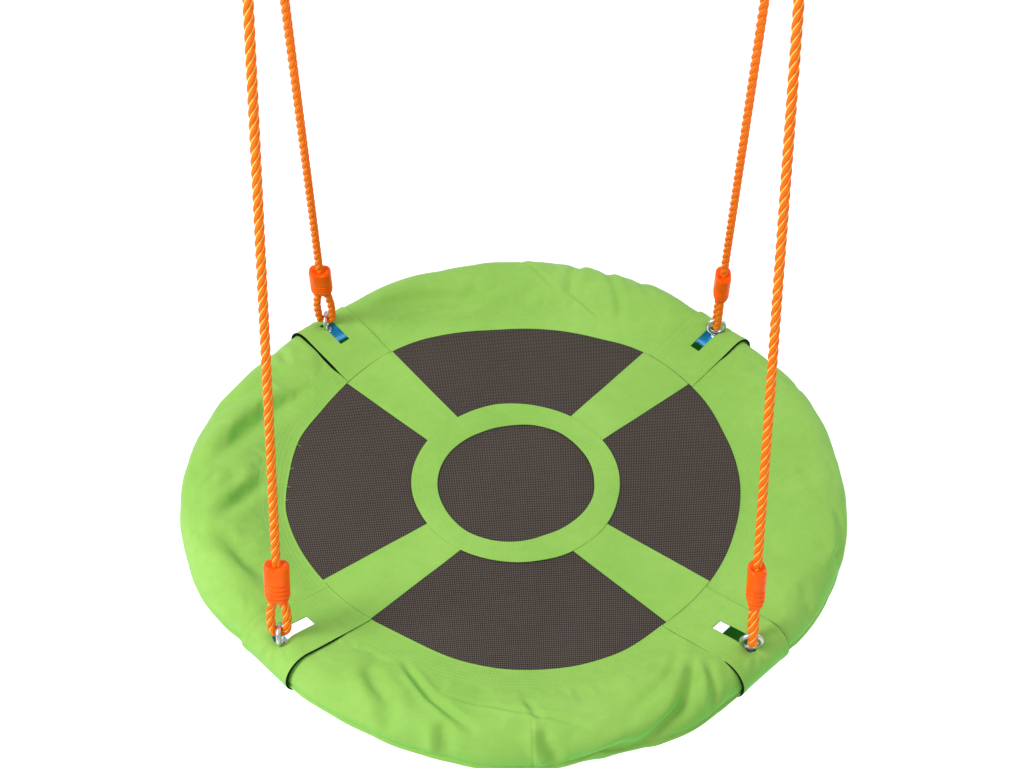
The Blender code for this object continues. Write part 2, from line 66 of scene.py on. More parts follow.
# Sizes that repeat the design's
TUBE_R = 0.016
SWAGE_LENGTH = 0.045
FOAM_R = 0.0365
BAND_INNER_R = 0.1195
SPOKE_HALF = 0.035
PATCH_HALF = 0.048
PATCH_R = 0.031
SLOT_HALF = 0.009
SLOT_INNER_R = {(-1, -1): 0.401, (1, -1): 0.393, (-1, 1): 0.405, (1, 1): 0.400}   # side, end
SLOT_OUTER_R = 0.460
EYE_R = 0.0135
EYE_WIRE_R = 0.0035
SHANK_R = 0.004
SHANK_BELOW = 0.0105
NUT_R = 0.0075
COLLAR_R = 0.0085
COLLAR_HEIGHT = 0.003
EYE_Z = TUBE_Z + TUBE_R + GAP + COLLAR_HEIGHT + EYE_R + EYE_WIRE_R - 0.001
ROPE_R = 0.006
EYE_CLEARANCE = 0.001
LEG_HALF = 0.0112
MOUTH_HALF = 0.0070
TAIL_IN_CLAMP = 0.45
TAIL_HALF = 0.0094
LEAD_HALF = 0.0032
BEND_STEPS = 6
CLAMP_LENGTH = 0.062
CLAMP_HALF_WIDTH = 0.0175
CLAMP_FLATNESS = 0.72
LOWER_EYE = {(-1, -1): 0.0440, (1, -1): 0.0540, (-1, 1): 0.0680, (1, 1): 0.0680}
UPPER_EYE = 0.0660
WIRE_R = 0.004
RING_R = 0.038
HOOK_BOW_R = 0.016
GATE_BELOW_PIN = 0.0035

SIDES = {"left": -1, "right": 1}
ENDS = {"front": -1, "rear": 1}
QUARTERS = {"right": 0, "rear": 90, "left": 180, "front": -90}
CORNERS = [(word, place, side, end) for word, side in SIDES.items() for place, end in ENDS.items()]


# Camera, light and floor

CAMERA_FROM_SEAT = (0.0089, -1.6676, 1.8054)
CAMERA_PITCH = 43.884
CAMERA_TURN = 0.666
CAMERA_ROLL = 0.358
CAMERA_LENS = 57.03
FLOOR_BELOW_SEAT = 1.1
FLOOR_HALF = 150.0
FLOOR_GLOW = 0.45
WORLD_STRENGTH = 0.58
# place from the seat's centre, size, watts
LAMPS = {
    "key": ((-2.1, -0.9, 2.0), 1.2, 66),
    "fill": ((2.2, 1.0, 1.8), 2.4, 22),
}


def make_camera():
    data = bpy.data.cameras.new("camera")
    data.lens = CAMERA_LENS
    data.sensor_width = 36.0
    made = bpy.data.objects.new("camera", data)
    bpy.context.scene.collection.objects.link(made)
    turn = (
        Matrix.Rotation(math.radians(CAMERA_TURN), 4, "Z")
        @ Matrix.Rotation(math.radians(90 - CAMERA_PITCH), 4, "X")
        @ Matrix.Rotation(math.radians(CAMERA_ROLL), 4, "Z")
    )
    place = Vector(CAMERA_FROM_SEAT) + Vector((0, 0, SEAT_Z))
    made.matrix_world = Matrix.Translation(place) @ turn
    bpy.context.scene.camera = made


def area_light(name, place, target, size, watts):
    data = bpy.data.lights.new(name, "AREA")
    data.shape = "DISK"
    data.size = size
    data.energy = watts
    made = bpy.data.objects.new(name, data)
    made.location = place
    made.rotation_euler = (Vector(target) - Vector(place)).to_track_quat("-Z", "Y").to_euler()
    bpy.context.scene.collection.objects.link(made)


def make_studio():
    world = bpy.data.worlds.new("studio")
    bpy.context.scene.world = world
    world.use_nodes = True
    nodes = world.node_tree.nodes
    nodes["Background"].inputs["Color"].default_value = (1, 1, 1, 1)
    # the backdrop is as white as the floor, and lights the object less than that
    strength = nodes.new("ShaderNodeMath")
    strength.operation = "MULTIPLY_ADD"
    strength.inputs[1].default_value = 1.0 - WORLD_STRENGTH
    strength.inputs[2].default_value = WORLD_STRENGTH
    seen = nodes.new("ShaderNodeLightPath")
    world.node_tree.links.new(seen.outputs["Is Camera Ray"], strength.inputs[0])
    world.node_tree.links.new(strength.outputs[0], nodes["Background"].inputs["Strength"])
    bpy.context.scene.view_settings.view_transform = "Standard"
    seat = Vector((0, 0, SEAT_Z))
    for name, (from_seat, size, watts) in LAMPS.items():
        area_light(name, seat + Vector(from_seat), seat, size, watts)
    floor = bpy.data.meshes.new("floor")
    half = FLOOR_HALF
    corners = [(-half, -half, 0), (half, -half, 0), (half, half, 0), (-half, half, 0)]
    floor.from_pydata(corners, [], [(0, 1, 2, 3)])
    made = bpy.data.objects.new("floor", floor)
    made.location = (0, 0, SEAT_Z - FLOOR_BELOW_SEAT)
    bpy.context.scene.collection.objects.link(made)
    pale = bpy.data.materials.new("pale_floor")
    pale.use_nodes = True
    shader = pale.node_tree.nodes["Principled BSDF"]
    shader.inputs["Base Color"].default_value = (0.93, 0.93, 0.93, 1)
    shader.inputs["Roughness"].default_value = 0.9
    shader.inputs["Emission Color"].default_value = (1, 1, 1, 1)
    shader.inputs["Emission Strength"].default_value = FLOOR_GLOW
    made.data.materials.append(pale)


# Mesh making

def new_piece(name, verts, faces, looks, face_looks=None, uv=None, sharp=35):
    """A mesh object in the row frame. uv is one (u, v) for each vertex, in metres of cloth."""
    mesh = bpy.data.meshes.new(name)
    mesh.from_pydata([tuple(v) for v in verts], [], faces)
    for look in looks:
        mesh.materials.append(look)
    if face_looks is not None:
        mesh.polygons.foreach_set("material_index", np.asarray(face_looks, dtype=np.int32))
    if uv is not None:
        layer = mesh.uv_layers.new(name="UVMap")
        corners = np.empty(len(mesh.loops), dtype=np.int32)
        mesh.loops.foreach_get("vertex_index", corners)
        layer.data.foreach_set("uv", np.asarray(uv, dtype=np.float32)[corners].ravel())
    mesh.shade_smooth()
    mesh.set_sharp_from_angle(angle=math.radians(sharp))
    mesh.update()
    made = bpy.data.objects.new(name, mesh)
    bpy.context.scene.collection.objects.link(made)
    return made


def grid_faces(rows, columns, wrap_rows=False, wrap_columns=False, start=0):
    """Quads of a grid of rows x columns vertices, numbered row by row."""
    faces = []
    for i in range(rows if wrap_rows else rows - 1):
        for j in range(columns if wrap_columns else columns - 1):
            a, b = i * columns + j, i * columns + (j + 1) % columns
            c, d = ((i + 1) % rows) * columns + (j + 1) % columns, ((i + 1) % rows) * columns + j
            faces.append((start + a, start + b, start + c, start + d))
    return faces


class Shape:
    """Collects vertices and faces of a piece made of several surfaces."""

    def __init__(self):
        self.verts, self.faces, self.looks, self.uv = [], [], [], []

    def add(self, verts, faces, look=0, uv=None):
        start = len(self.verts)
        self.verts.extend(tuple(v) for v in verts)
        self.faces.extend(tuple(start + i for i in face) for face in faces)
        self.looks.extend([look] * len(faces))
        self.uv.extend(uv if uv is not None else [(v[0], v[1]) for v in verts])

    def tube(self, path, radius, sides=8, look=0, closed=False, flat=1.0):
        """A round bar along a path of points, with rounded ends unless it is closed."""
        path = np.asarray(path, dtype=float)
        radii = np.broadcast_to(np.asarray(radius, dtype=float), (len(path),))
        tangents, across, up = transport(path, closed)
        angles = full_turn(sides)
        ring = (np.cos(angles)[None, :, None] * across[:, None, :]
                + np.broadcast_to(flat, (len(path),))[:, None, None]
                * np.sin(angles)[None, :, None] * up[:, None, :])
        verts = path[:, None, :] + ring * radii[:, None, None]
        along = distances(path)
        uv = [(s, a * float(radii.max())) for s in along for a in angles]
        count = len(path)
        faces = [f[::-1] for f in grid_faces(count, sides, wrap_rows=closed, wrap_columns=True)]
        verts = list(verts.reshape(-1, 3))
        if not closed:
            for row, sign in ((0, -1), (count - 1, 1)):
                tip = len(verts)
                verts.append(path[row] + sign * tangents[row] * radii[row] * 0.5)
                uv.append((along[row], 0.0))
                for j in range(sides):
                    a, b = row * sides + j, row * sides + (j + 1) % sides
                    faces.append((b, a, tip) if sign < 0 else (a, b, tip))
        self.add(verts, faces, look, uv)

    def piece(self, name, looks, sharp=35):
        return new_piece(name, self.verts, self.faces, looks, self.looks, self.uv, sharp)


def transport(path, closed=False):
    """Tangents and two cross directions carried along the path without twist."""
    if closed:
        tangents = np.roll(path, -1, axis=0) - np.roll(path, 1, axis=0)
    else:
        tangents = np.gradient(path, axis=0)
    tangents /= np.linalg.norm(tangents, axis=1)[:, None]
    first = np.cross(tangents[0], (0.0, 0.0, 1.0))
    if np.linalg.norm(first) < 0.2:
        first = np.cross(tangents[0], (0.0, 1.0, 0.0))
    across = np.empty_like(path)
    across[0] = first / np.linalg.norm(first)
    for i in range(1, len(path)):
        carried = across[i - 1] - tangents[i] * np.dot(across[i - 1], tangents[i])
        across[i] = carried / np.linalg.norm(carried)
    return tangents, across, np.cross(tangents, across)


def smooth_step(x):
    x = np.clip(x, 0.0, 1.0)
    return x * x * (3 - 2 * x)


def bell(x):
    return np.exp(-x ** 2)


def full_turn(count):
    return np.linspace(0, 2 * math.pi, count, endpoint=False)


def distances(path):
    """Distance along a path to each of its points."""
    return np.concatenate([[0], np.cumsum(np.linalg.norm(np.diff(path, axis=0), axis=1))])


def settle(piece, body, node=None):
    """Say which body a piece rides on, which node it replaces, if any."""
    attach(piece, body)
    if node is not None:
        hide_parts(node)


# Materials

class Material:
    """One material, and short words for wiring its nodes."""

    def __init__(self, name, colour, roughness, metallic=0.0):
        self.made = bpy.data.materials.new(name)
        self.made.use_nodes = True
        self.tree = self.made.node_tree
        self.shader = self.tree.nodes["Principled BSDF"]
        self.set("Base Color", (*colour, 1.0))
        self.set("Roughness", roughness)
        self.set("Metallic", metallic)

    def set(self, key, value):
        self.shader.inputs[key].default_value = value

    def node(self, kind, **settings):
        made = self.tree.nodes.new("ShaderNode" + kind)
        for key, value in settings.items():
            setattr(made, key, value)
        return made

    def put(self, source, target):
        """Link a socket, or set a number or colour, on an input socket."""
        if isinstance(source, bpy.types.NodeSocket):
            self.tree.links.new(source, target)
        else:
            target.default_value = source

    def math(self, operation, a, b=0.0, clamp=False):
        made = self.node("Math", operation=operation, use_clamp=clamp)
        self.put(a, made.inputs[0])
        self.put(b, made.inputs[1])
        return made.outputs[0]

    def scaled(self, value, factor, base):
        return self.math("ADD", self.math("MULTIPLY", value, factor), base)

    def weighed(self, a, share_a, b, share_b):
        return self.math("ADD", self.math("MULTIPLY", a, share_a), self.math("MULTIPLY", b, share_b))

    def place(self, kind="Object", scale=(1, 1, 1), turn=0.0):
        source = self.node("TexCoord").outputs[kind]
        made = self.node("Mapping")
        made.inputs["Scale"].default_value = scale
        made.inputs["Rotation"].default_value = (0, 0, turn)
        self.put(source, made.inputs["Vector"])
        return made.outputs[0]

    def cloud(self, vector, scale, detail=3.0, rough=0.55):
        made = self.node("TexNoise")
        self.put(vector, made.inputs["Vector"])
        made.inputs["Scale"].default_value = scale
        made.inputs["Detail"].default_value = detail
        made.inputs["Roughness"].default_value = rough
        return made.outputs["Fac"]

    def stripes(self, vector, scale, direction, distortion=0.0, profile="SIN"):
        made = self.node("TexWave", wave_type="BANDS", bands_direction=direction, wave_profile=profile)
        self.put(vector, made.inputs["Vector"])
        made.inputs["Scale"].default_value = scale
        made.inputs["Distortion"].default_value = distortion
        return made.outputs["Fac"]

    def ramp(self, factor, stops):
        made = self.node("ValToRGB")
        ramp = made.color_ramp
        while len(ramp.elements) < len(stops):
            ramp.elements.new(0.5)
        for element, (place, colour) in zip(ramp.elements, stops):
            element.position = place
            element.color = (*colour, 1.0)
        self.put(factor, made.inputs["Fac"])
        return made.outputs["Color"]

    def mix(self, factor, a, b, blend_type="MIX"):
        made = self.node("Mix", data_type="RGBA", blend_type=blend_type)
        self.put(factor, made.inputs["Factor"])
        for value, key in ((a, "A"), (b, "B")):
            socket = [i for i in made.inputs if i.name == key and i.type == "RGBA"][0]
            self.put(value if isinstance(value, bpy.types.NodeSocket) else (*value, 1.0), socket)
        return [o for o in made.outputs if o.type == "RGBA"][0]

    def bump(self, height, distance, strength=1.0, normal=None):
        made = self.node("Bump")
        self.put(height, made.inputs["Height"])
        made.inputs["Distance"].default_value = distance
        made.inputs["Strength"].default_value = strength
        if normal is not None:
            self.put(normal, made.inputs["Normal"])
        return made.outputs[0]

    def surface(self, colour=None, roughness=None, normal=None):
        for value, key in ((colour, "Base Color"), (roughness, "Roughness"), (normal, "Normal")):
            if value is not None:
                self.put(value, self.shader.inputs[key])


# a wave texture repeats every (2 pi / 20) / scale units, so WAVE_UNIT / pitch is a pitch's scale
WAVE_UNIT = 2 * math.pi / 20
COVER_SHADES = ((0.250, 0.515, 0.076), (0.300, 0.578, 0.098), (0.350, 0.640, 0.126))
LIT_FROM = (-0.25, -0.30, 0.92)
# painted shade: where the cloth's normal turns away from LIT_FROM, its colour is multiplied by this deeper
# green
TURNED_AWAY_PAINTED_SHADE = (0.60, 0.98, 0.62)      # slopes turned away are a deeper green
# painted shade: the cloth's inside and cut rims are these dark greens, and they are also given a painted
# glow
INSIDE_PAINTED_SHADE_TONES = ((0.030, 0.105, 0.020), (0.045, 0.150, 0.030), (0.065, 0.195, 0.042))
MESH_HOLE = (0.013, 0.009, 0.007)
MESH_YARN = (0.060, 0.047, 0.040)
MESH_GLINT = (0.165, 0.134, 0.114)


def cover_cloth(name, shades, sheen, glow):
    """Coated polyester: a fine plain weave, a little uneven in colour, with painted shade: paler where it
    faces LIT_FROM and a deeper green where it turns away.
    """
    n = Material(name, shades[1], 0.72)
    cloth = n.place("UV")
    space = n.place("Object")
    pitch = WAVE_UNIT / 0.0011
    warp = n.stripes(cloth, pitch, "X", 0.4)
    weft = n.stripes(cloth, pitch, "Y", 0.4)
    weave = n.math("MULTIPLY", warp, weft)
    broad = n.cloud(space, 5.0, 2.0)
    fine = n.cloud(space, 60.0, 4.0, 0.65)
    shade = n.weighed(broad, 0.65, fine, 0.35)
    colour = n.ramp(shade, list(zip((0.30, 0.52, 0.74), shades)))
    thread = n.ramp(weave, ((0.0, (0.86, 0.86, 0.86)), (0.55, (1.0, 1.0, 1.0))))
    colour = n.mix(1.0, colour, thread, "MULTIPLY")
    # painted shade, from how the cloth faces LIT_FROM
    facing = n.node("VectorMath", operation="DOT_PRODUCT")
    n.put(n.place("Normal"), facing.inputs[0])
    facing.inputs[1].default_value = LIT_FROM
    painted_shade = n.ramp(facing.outputs["Value"], ((0.20, TURNED_AWAY_PAINTED_SHADE), (0.68, (1.0, 1.0, 1.0))))
    colour = n.mix(1.0, colour, painted_shade, "MULTIPLY")
    rough = n.scaled(fine, 0.16, 0.62)
    ground = n.bump(n.cloud(space, 38.0, 3.0), 0.0008, 0.35)
    n.surface(colour, rough, n.bump(weave, 0.00018, 0.55, ground))
    n.set("Sheen Weight", sheen)
    n.set("Sheen Roughness", 0.45)
    # painted light: a faint green glow stands in for light that comes through the cloth, and keeps its
    # hollows green
    n.set("Emission Color", (0.12, 1.0, 0.05, 1.0))
    n.set("Emission Strength", glow)
    n.set("Sheen Tint", (0.75, 1.0, 0.6, 1.0))
    n.set("Specular IOR Level", 0.30)
    return n.made


def seat_mesh():
    """Woven textilene: dark coated yarns in a plain weave, with pale glints on the crossings."""
    n = Material("dark_mesh", (0.068, 0.056, 0.049), 0.62)
    flat = n.place("Object", turn=math.radians(1.5))
    pitch = WAVE_UNIT / 0.0026
    across = n.stripes(flat, pitch, "X")
    along = n.stripes(flat, pitch * 0.77, "Y")
    crossing = n.math("MULTIPLY", across, along)
    patches = n.cloud(flat, 9.0, 3.0)
    slub = n.cloud(n.place("Object", (1.0, 14.0, 1.0)), 30.0, 3.0)
    level = n.math("ADD", crossing, n.math("MULTIPLY", n.math("ADD", patches, slub), 0.10))
    colour = n.ramp(level, ((0.08, MESH_HOLE), (0.35, MESH_YARN), (0.95, MESH_GLINT)))
    n.surface(colour, n.scaled(patches, 0.2, 0.45),
              n.bump(crossing, 0.0005, 0.8))
    n.set("Specular IOR Level", 0.22)
    return n.made


def rope_strand():
    """Twisted polypropylene: fine filaments running along each strand."""
    n = Material("orange_strand", (0.86, 0.19, 0.010), 0.5)
    along = n.place("UV", (160.0, 3300.0, 1.0))
    fibre = n.cloud(along, 1.0, 4.0, 0.7)
    patch = n.cloud(n.place("Object"), 90.0, 2.0)
    level = n.weighed(fibre, 0.7, patch, 0.3)
    colour = n.ramp(level, ((0.30, (0.90, 0.115, 0.001)), (0.52, (1.0, 0.170, 0.001)),
                            (0.75, (1.0, 0.280, 0.008))))
    n.surface(colour, n.scaled(fibre, 0.3, 0.36), n.bump(fibre, 0.0004, 0.6))
    n.set("Specular IOR Level", 0.14)
    return n.made


# painted highlight: a yellow yarn that draws the rope's bright highlight lines
def highlight_yarn():
    n = Material("yellow_painted_highlight", (0.95, 0.72, 0.11), 0.5)
    fibre = n.cloud(n.place("UV", (400.0, 3000.0, 1.0)), 1.0, 3.0)
    colour = n.ramp(fibre, ((0.35, (0.90, 0.52, 0.05)), (0.65, (1.0, 0.80, 0.20))))
    n.surface(colour, 0.5, n.bump(fibre, 0.0002, 0.5))
    return n.made


def moulded_plastic():
    n = Material("orange_plastic", (1.0, 0.125, 0.006), 0.34)
    space = n.place("Object")
    grain = n.cloud(space, 900.0, 2.0)
    flow = n.cloud(space, 45.0, 3.0)
    colour = n.ramp(flow, ((0.30, (0.98, 0.104, 0.001)), (0.70, (1.0, 0.140, 0.001))))
    n.surface(colour, n.scaled(flow, 0.16, 0.30), n.bump(grain, 0.00005, 0.4))
    n.set("Specular IOR Level", 0.16)
    return n.made


def zinc_plate(name="zinc", dark=0.0):
    """Bright zinc with faint clouding and fine scratches."""
    n = Material(name, (0.66, 0.68, 0.71), 0.28, 1.0)
    space = n.place("Object")
    cloudy = n.cloud(space, 120.0, 4.0, 0.6)
    scratch = n.cloud(n.place("Object", (1.0, 1.0, 12.0)), 600.0, 3.0)
    colour = n.ramp(cloudy, ((0.30, (0.50 - dark, 0.52 - dark, 0.55 - dark)),
                             (0.70, (0.78 - dark, 0.80 - dark, 0.82 - dark))))
    n.surface(colour, n.scaled(scratch, 0.25, 0.16),
              n.bump(cloudy, 0.0001, 0.3))
    return n.made


def blue_paint():
    n = Material("blue_powder_coat", (0.030, 0.42, 0.95), 0.2)
    space = n.place("Object")
    peel = n.cloud(space, 500.0, 2.0)
    tone = n.cloud(space, 30.0, 2.0)
    colour = n.ramp(tone, ((0.3, (0.022, 0.360, 0.88)), (0.7, (0.045, 0.470, 0.98))))
    n.surface(colour, n.scaled(tone, 0.1, 0.14), n.bump(peel, 0.00012, 0.4))
    n.set("Coat Weight", 0.5)
    # the slots let in little light, so the paint is given a little of its own
    n.set("Emission Color", (0.02, 0.40, 1.0, 1.0))
    n.set("Emission Strength", 0.12)
    n.set("Coat Roughness", 0.08)
    return n.made


def foam_skin():
    n = Material("grey_foam", (0.20, 0.20, 0.21), 0.9)
    space = n.place("Object")
    cells = n.node("TexVoronoi")
    n.put(space, cells.inputs["Vector"])
    cells.inputs["Scale"].default_value = 450.0
    colour = n.ramp(cells.outputs["Distance"], ((0.0, (0.26, 0.26, 0.27)), (0.8, (0.13, 0.13, 0.14))))
    n.surface(colour, 0.9, n.bump(cells.outputs["Distance"], 0.0006, 0.7))
    return n.made


def slit_shade_material():
    """Painted shade: a near-black strip that darkens the open slits."""
    n = Material("dark_slit_painted_shade", (0.003, 0.007, 0.003), 0.9)
    ribs = n.stripes(n.place("UV"), WAVE_UNIT / 0.0012, "X")
    colour = n.ramp(ribs, ((0.2, (0.001, 0.003, 0.001)), (0.9, (0.005, 0.012, 0.005))))
    n.surface(colour, 0.9, n.bump(ribs, 0.0002, 0.5))
    n.set("Specular IOR Level", 0.05)
    return n.made


def sewing_thread():
    n = Material("green_thread", (0.40, 0.70, 0.17), 0.6)
    twist = n.stripes(n.place("UV", turn=0.7), WAVE_UNIT / 0.0004, "X")
    colour = n.ramp(twist, ((0.2, (0.27, 0.54, 0.10)), (0.9, (0.44, 0.74, 0.21))))
    n.surface(colour, 0.6, n.bump(twist, 0.0001, 0.5))
    return n.made


# Ropes

STRANDS = 3
STRAND_OFFSET = 0.0032
STRAND_R = 0.0032
ROPE_LAY = 0.044
# painted highlight: yarns in the grooves, plain on the front ropes and faint on the rear ones
HIGHLIGHT_YARN_OFFSET = 0.0046
HIGHLIGHT_YARN_R = {-1: 0.0008, 1: 0.0003}     # plain on the front ropes, faint on the rear ones
RING_STEP = 0.0016
CLAMP_SQUARENESS = 2.7
CLAMP_RIBS = (0.12, 0.235, 0.35, 0.465)
CLAMP_HOLE = 0.0048
FUNNEL_LOW = 0.0022      # how deep each end of the clamp is drawn in to the rope
FUNNEL_HIGH = 0.0026
SADDLE = 0.0035          # the middle of the upper end lies this far below its two lobes
CLAMP_SIDES = 48
CLAMP_LEVELS = 64
# rows across each end of the clamp, as shares of its width there
CLAMP_END_SHARES = (0.0, 0.2, 0.5, 0.8, 0.94)


def smooth_route(points, spacing):
    """Evenly spaced points on a Catmull-Rom curve through the route's own points."""
    ends = [2 * points[0] - points[1]] + points + [2 * points[-1] - points[-2]]
    fine = []
    for a, b, c, d in zip(ends, ends[1:], ends[2:], ends[3:]):
        count = max(1, round((c - b).length / spacing))
        for i in range(count):
            t = i / count
            fine.append(
                0.5 * (2 * b + (c - a) * t + (2 * a - 5 * b + 4 * c - d) * t * t
                       + (3 * b - a - 3 * c + d) * t ** 3)
            )
    return fine + [points[-1]]


def eye_centre(side, end):
    return Vector((side * BOLT_OFFSET, end * BOLT_OFFSET, SEAT_Z + EYE_Z))


def eye_axis(side):
    """The left eyes are seen edge-on from the front, the right ones face-on."""
    return Vector((1, 0, 0)) if side < 0 else Vector((0, 1, 0))


def rope_frames(side, end):
    """For each end of a rope: the wire's centre in its eye, the way out along the rope, and
    the way across the eye."""
    low, high = eye_centre(side, end), Vector((side * HANG_HALF, 0, RING_Z))
    up = (high - low).normalized()
    in_eye_plane = (up - eye_axis(side) * up.dot(eye_axis(side))).normalized()
    in_ring_plane = Vector((0, up.y, up.z)).normalized()
    across_low = eye_axis(side) - up * up.dot(eye_axis(side))
    across_high = Vector((1, 0, 0)) - up * up.x
    lower = (low + in_eye_plane * EYE_R, up, across_low.normalized())
    upper = (high - in_ring_plane * RING_R, -up, across_high.normalized())
    return lower, upper


def eye_route(frame_here, wire_r, length):
    """The tail, the two legs and the bend of one eye, ending at the top of its clamp.

    Each place is (distance along the rope from the eye's wire, distance across the eye).
    """
    centre, out, across = frame_here
    bend_r = wire_r + ROPE_R + EYE_CLEARANCE
    tail_tip = length + TAIL_IN_CLAMP * CLAMP_LENGTH
    local = [
        (tail_tip, -TAIL_HALF),
        ((length + tail_tip) / 2, -(TAIL_HALF + MOUTH_HALF) / 2),
        (length, -MOUTH_HALF),
        (length / 2, -LEG_HALF),
    ]
    for i in range(BEND_STEPS + 1):
        angle = math.pi * i / BEND_STEPS
        local.append((-bend_r * math.sin(angle), -bend_r * math.cos(angle)))
    local += [
        (length / 2, LEG_HALF),
        (length, MOUTH_HALF),
        (tail_tip, LEAD_HALF),
        (length + CLAMP_LENGTH, 0.0),
    ]
    return [centre + out * a + across * b for a, b in local]


def twisted_rope(name, route, looks, highlight_yarn_r):
    """Three strands laid right-handed round the route, with a yellow yarn in each groove as a painted
    highlight.
    """
    path = np.array([tuple(p) for p in smooth_route(route, RING_STEP)])
    _, across, up = transport(path)
    along = distances(path)
    shape = Shape()
    for strand in range(STRANDS):
        for offset, radius, shift, look, sides in (
            (STRAND_OFFSET, STRAND_R, 0.0, 0, 10),
            (HIGHLIGHT_YARN_OFFSET, highlight_yarn_r, math.pi / 3, 1, 6),
        ):
            turn = 2 * math.pi * (along / ROPE_LAY + strand / STRANDS) + shift
            out = np.cos(turn)[:, None] * across + np.sin(turn)[:, None] * up
            shape.tube(path + out * offset, radius, sides, look)
    made = shape.piece(name, looks, sharp=60)
    return made, path


def clamp_shape(shape, frame_here, length):
    """The moulded clamp: two lobes, three ribs low down, both ends drawn in to the rope."""
    centre, out, across = (np.array(v) for v in frame_here)
    depth = np.cross(out, across)
    base = centre + out * length
    angles = full_turn(CLAMP_SIDES)
    c, s = np.cos(angles), np.sin(angles)
    power = 2.0 / CLAMP_SQUARENESS
    rows = [(0.0, share) for share in CLAMP_END_SHARES]
    rows += [(level, 1.0) for level in np.linspace(0, 1, CLAMP_LEVELS)]
    rows += [(1.0, share) for share in reversed(CLAMP_END_SHARES)]
    verts = []
    for level, share in rows:
        wide, thick = (CLAMP_HOLE + (full - CLAMP_HOLE) * share for full in clamp_width(level))
        funnel = FUNNEL_LOW if level < 0.5 else -FUNNEL_HIGH
        z = level * CLAMP_LENGTH + funnel * (1 - share) ** 1.5
        x = wide * np.sign(c) * np.abs(c) ** power
        y = thick * np.sign(s) * np.abs(s) ** power * (1 - share * clamp_notch(level, x / wide))
        drop = SADDLE * smooth_step((level - 0.9) / 0.1) * (np.abs(x) / CLAMP_HALF_WIDTH - 1)
        verts.append(base + np.outer(x, across) + np.outer(y, depth) + np.outer(z + drop, out))
    shape.add(np.concatenate(verts), grid_faces(len(rows), CLAMP_SIDES, wrap_columns=True))


def clamp_width(level):
    """Half width and half thickness of the clamp at a level from its mouth, 0, to its shoulder, 1."""
    taper = 0.86 + 0.14 * smooth_step(level / 0.20)
    shoulder = 1.0 - 0.16 * smooth_step((level - 0.88) / 0.12) ** 2
    ribs = sum(math.exp(-(((level - middle) / 0.019) ** 2)) for middle in CLAMP_RIBS)
    lip = 0.05 * math.exp(-((level / 0.03) ** 2))
    wide = CLAMP_HALF_WIDTH * (taper * shoulder - lip) * (0.985 - 0.085 * ribs)
    return wide, wide * CLAMP_FLATNESS * (1.0 - 0.07 * ribs)


def clamp_notch(level, x):
    """The crease down the middle of the faces, deep at both ends, where the two lobes meet."""
    depth = 0.22 * smooth_step((0.16 - level) / 0.16) + 0.12 * smooth_step((level - 0.86) / 0.14)
    return depth * np.exp(-((x / 0.35) ** 2))


def make_ropes(looks):
    """Every rope's run is a taut cord; its two eyes and clamps go with it."""
    for word, place, side, end in CORNERS:
        lower, upper = rope_frames(side, end)
        body = f"{word}_ropes"
        bottom = eye_route(lower, EYE_WIRE_R, LOWER_EYE[side, end])
        top = eye_route(upper, WIRE_R, UPPER_EYE)
        run, path = twisted_rope(
            f"{word}_{place}_rope_run", [bottom[-1], top[-1]], looks["rope"], HIGHLIGHT_YARN_R[end]
        )
        node = f"{word}_{place}_rope"
        settle(run, body, node)
        for level, frame_here, route, eye_length in (
            ("lower", lower, bottom, LOWER_EYE[side, end]),
            ("upper", upper, top, UPPER_EYE),
        ):
            name = f"{word}_{place}_{level}_rope_eye"
            eye, _ = twisted_rope(name, route, looks["rope"], HIGHLIGHT_YARN_R[end])
            settle(eye, body, node)
            shape = Shape()
            clamp_shape(shape, frame_here, eye_length)
            clamp = shape.piece(f"{word}_{place}_{level}_clamp_body", [looks["clamp"]], 50)
            settle(clamp, body, f"{word}_{place}_{level}_clamp")


# Steel parts

THREAD_PITCH = 0.00125
THREAD_DEPTH = 0.0004
RING_STEPS = 96
WELD_STEP = 8            # where on the ring its weld is
WELD_RISE = 0.10
BOW_STEPS = 32
PIN_ABOVE_BOW = 0.0095
GATE_BELOW_BOW = 0.0058
CHEEK_FLATNESS = 0.42    # of the wire between the gate's cheeks
CHEEK_SHARES = (0, 0.08, 0.5, 0.92, 1)
PLUG_R = 0.0141          # the reduced end of a tube, which goes into the next one
PLUG_STEPS = 12
TUBE_STEPS = 90


def torus_path(centre, across, up, radius, steps):
    angles = full_turn(steps)[:, None]
    return np.array(centre) + radius * (np.cos(angles) * np.array(across) + np.sin(angles) * np.array(up))


def turned(shape, centre, profile, steps=40, look=0):
    """A profile of (radius, height) points turned about the vertical through centre."""
    profile = np.array(profile, dtype=float)
    angles = full_turn(steps)
    points = np.stack(
        [profile[None, :, 0] * np.cos(angles)[:, None] + centre[0],
         profile[None, :, 0] * np.sin(angles)[:, None] + centre[1],
         np.broadcast_to(profile[None, :, 1], (steps, len(profile))) + centre[2]], axis=-1)
    shape.add(points.reshape(-1, 3), grid_faces(steps, len(profile), wrap_rows=True), look)


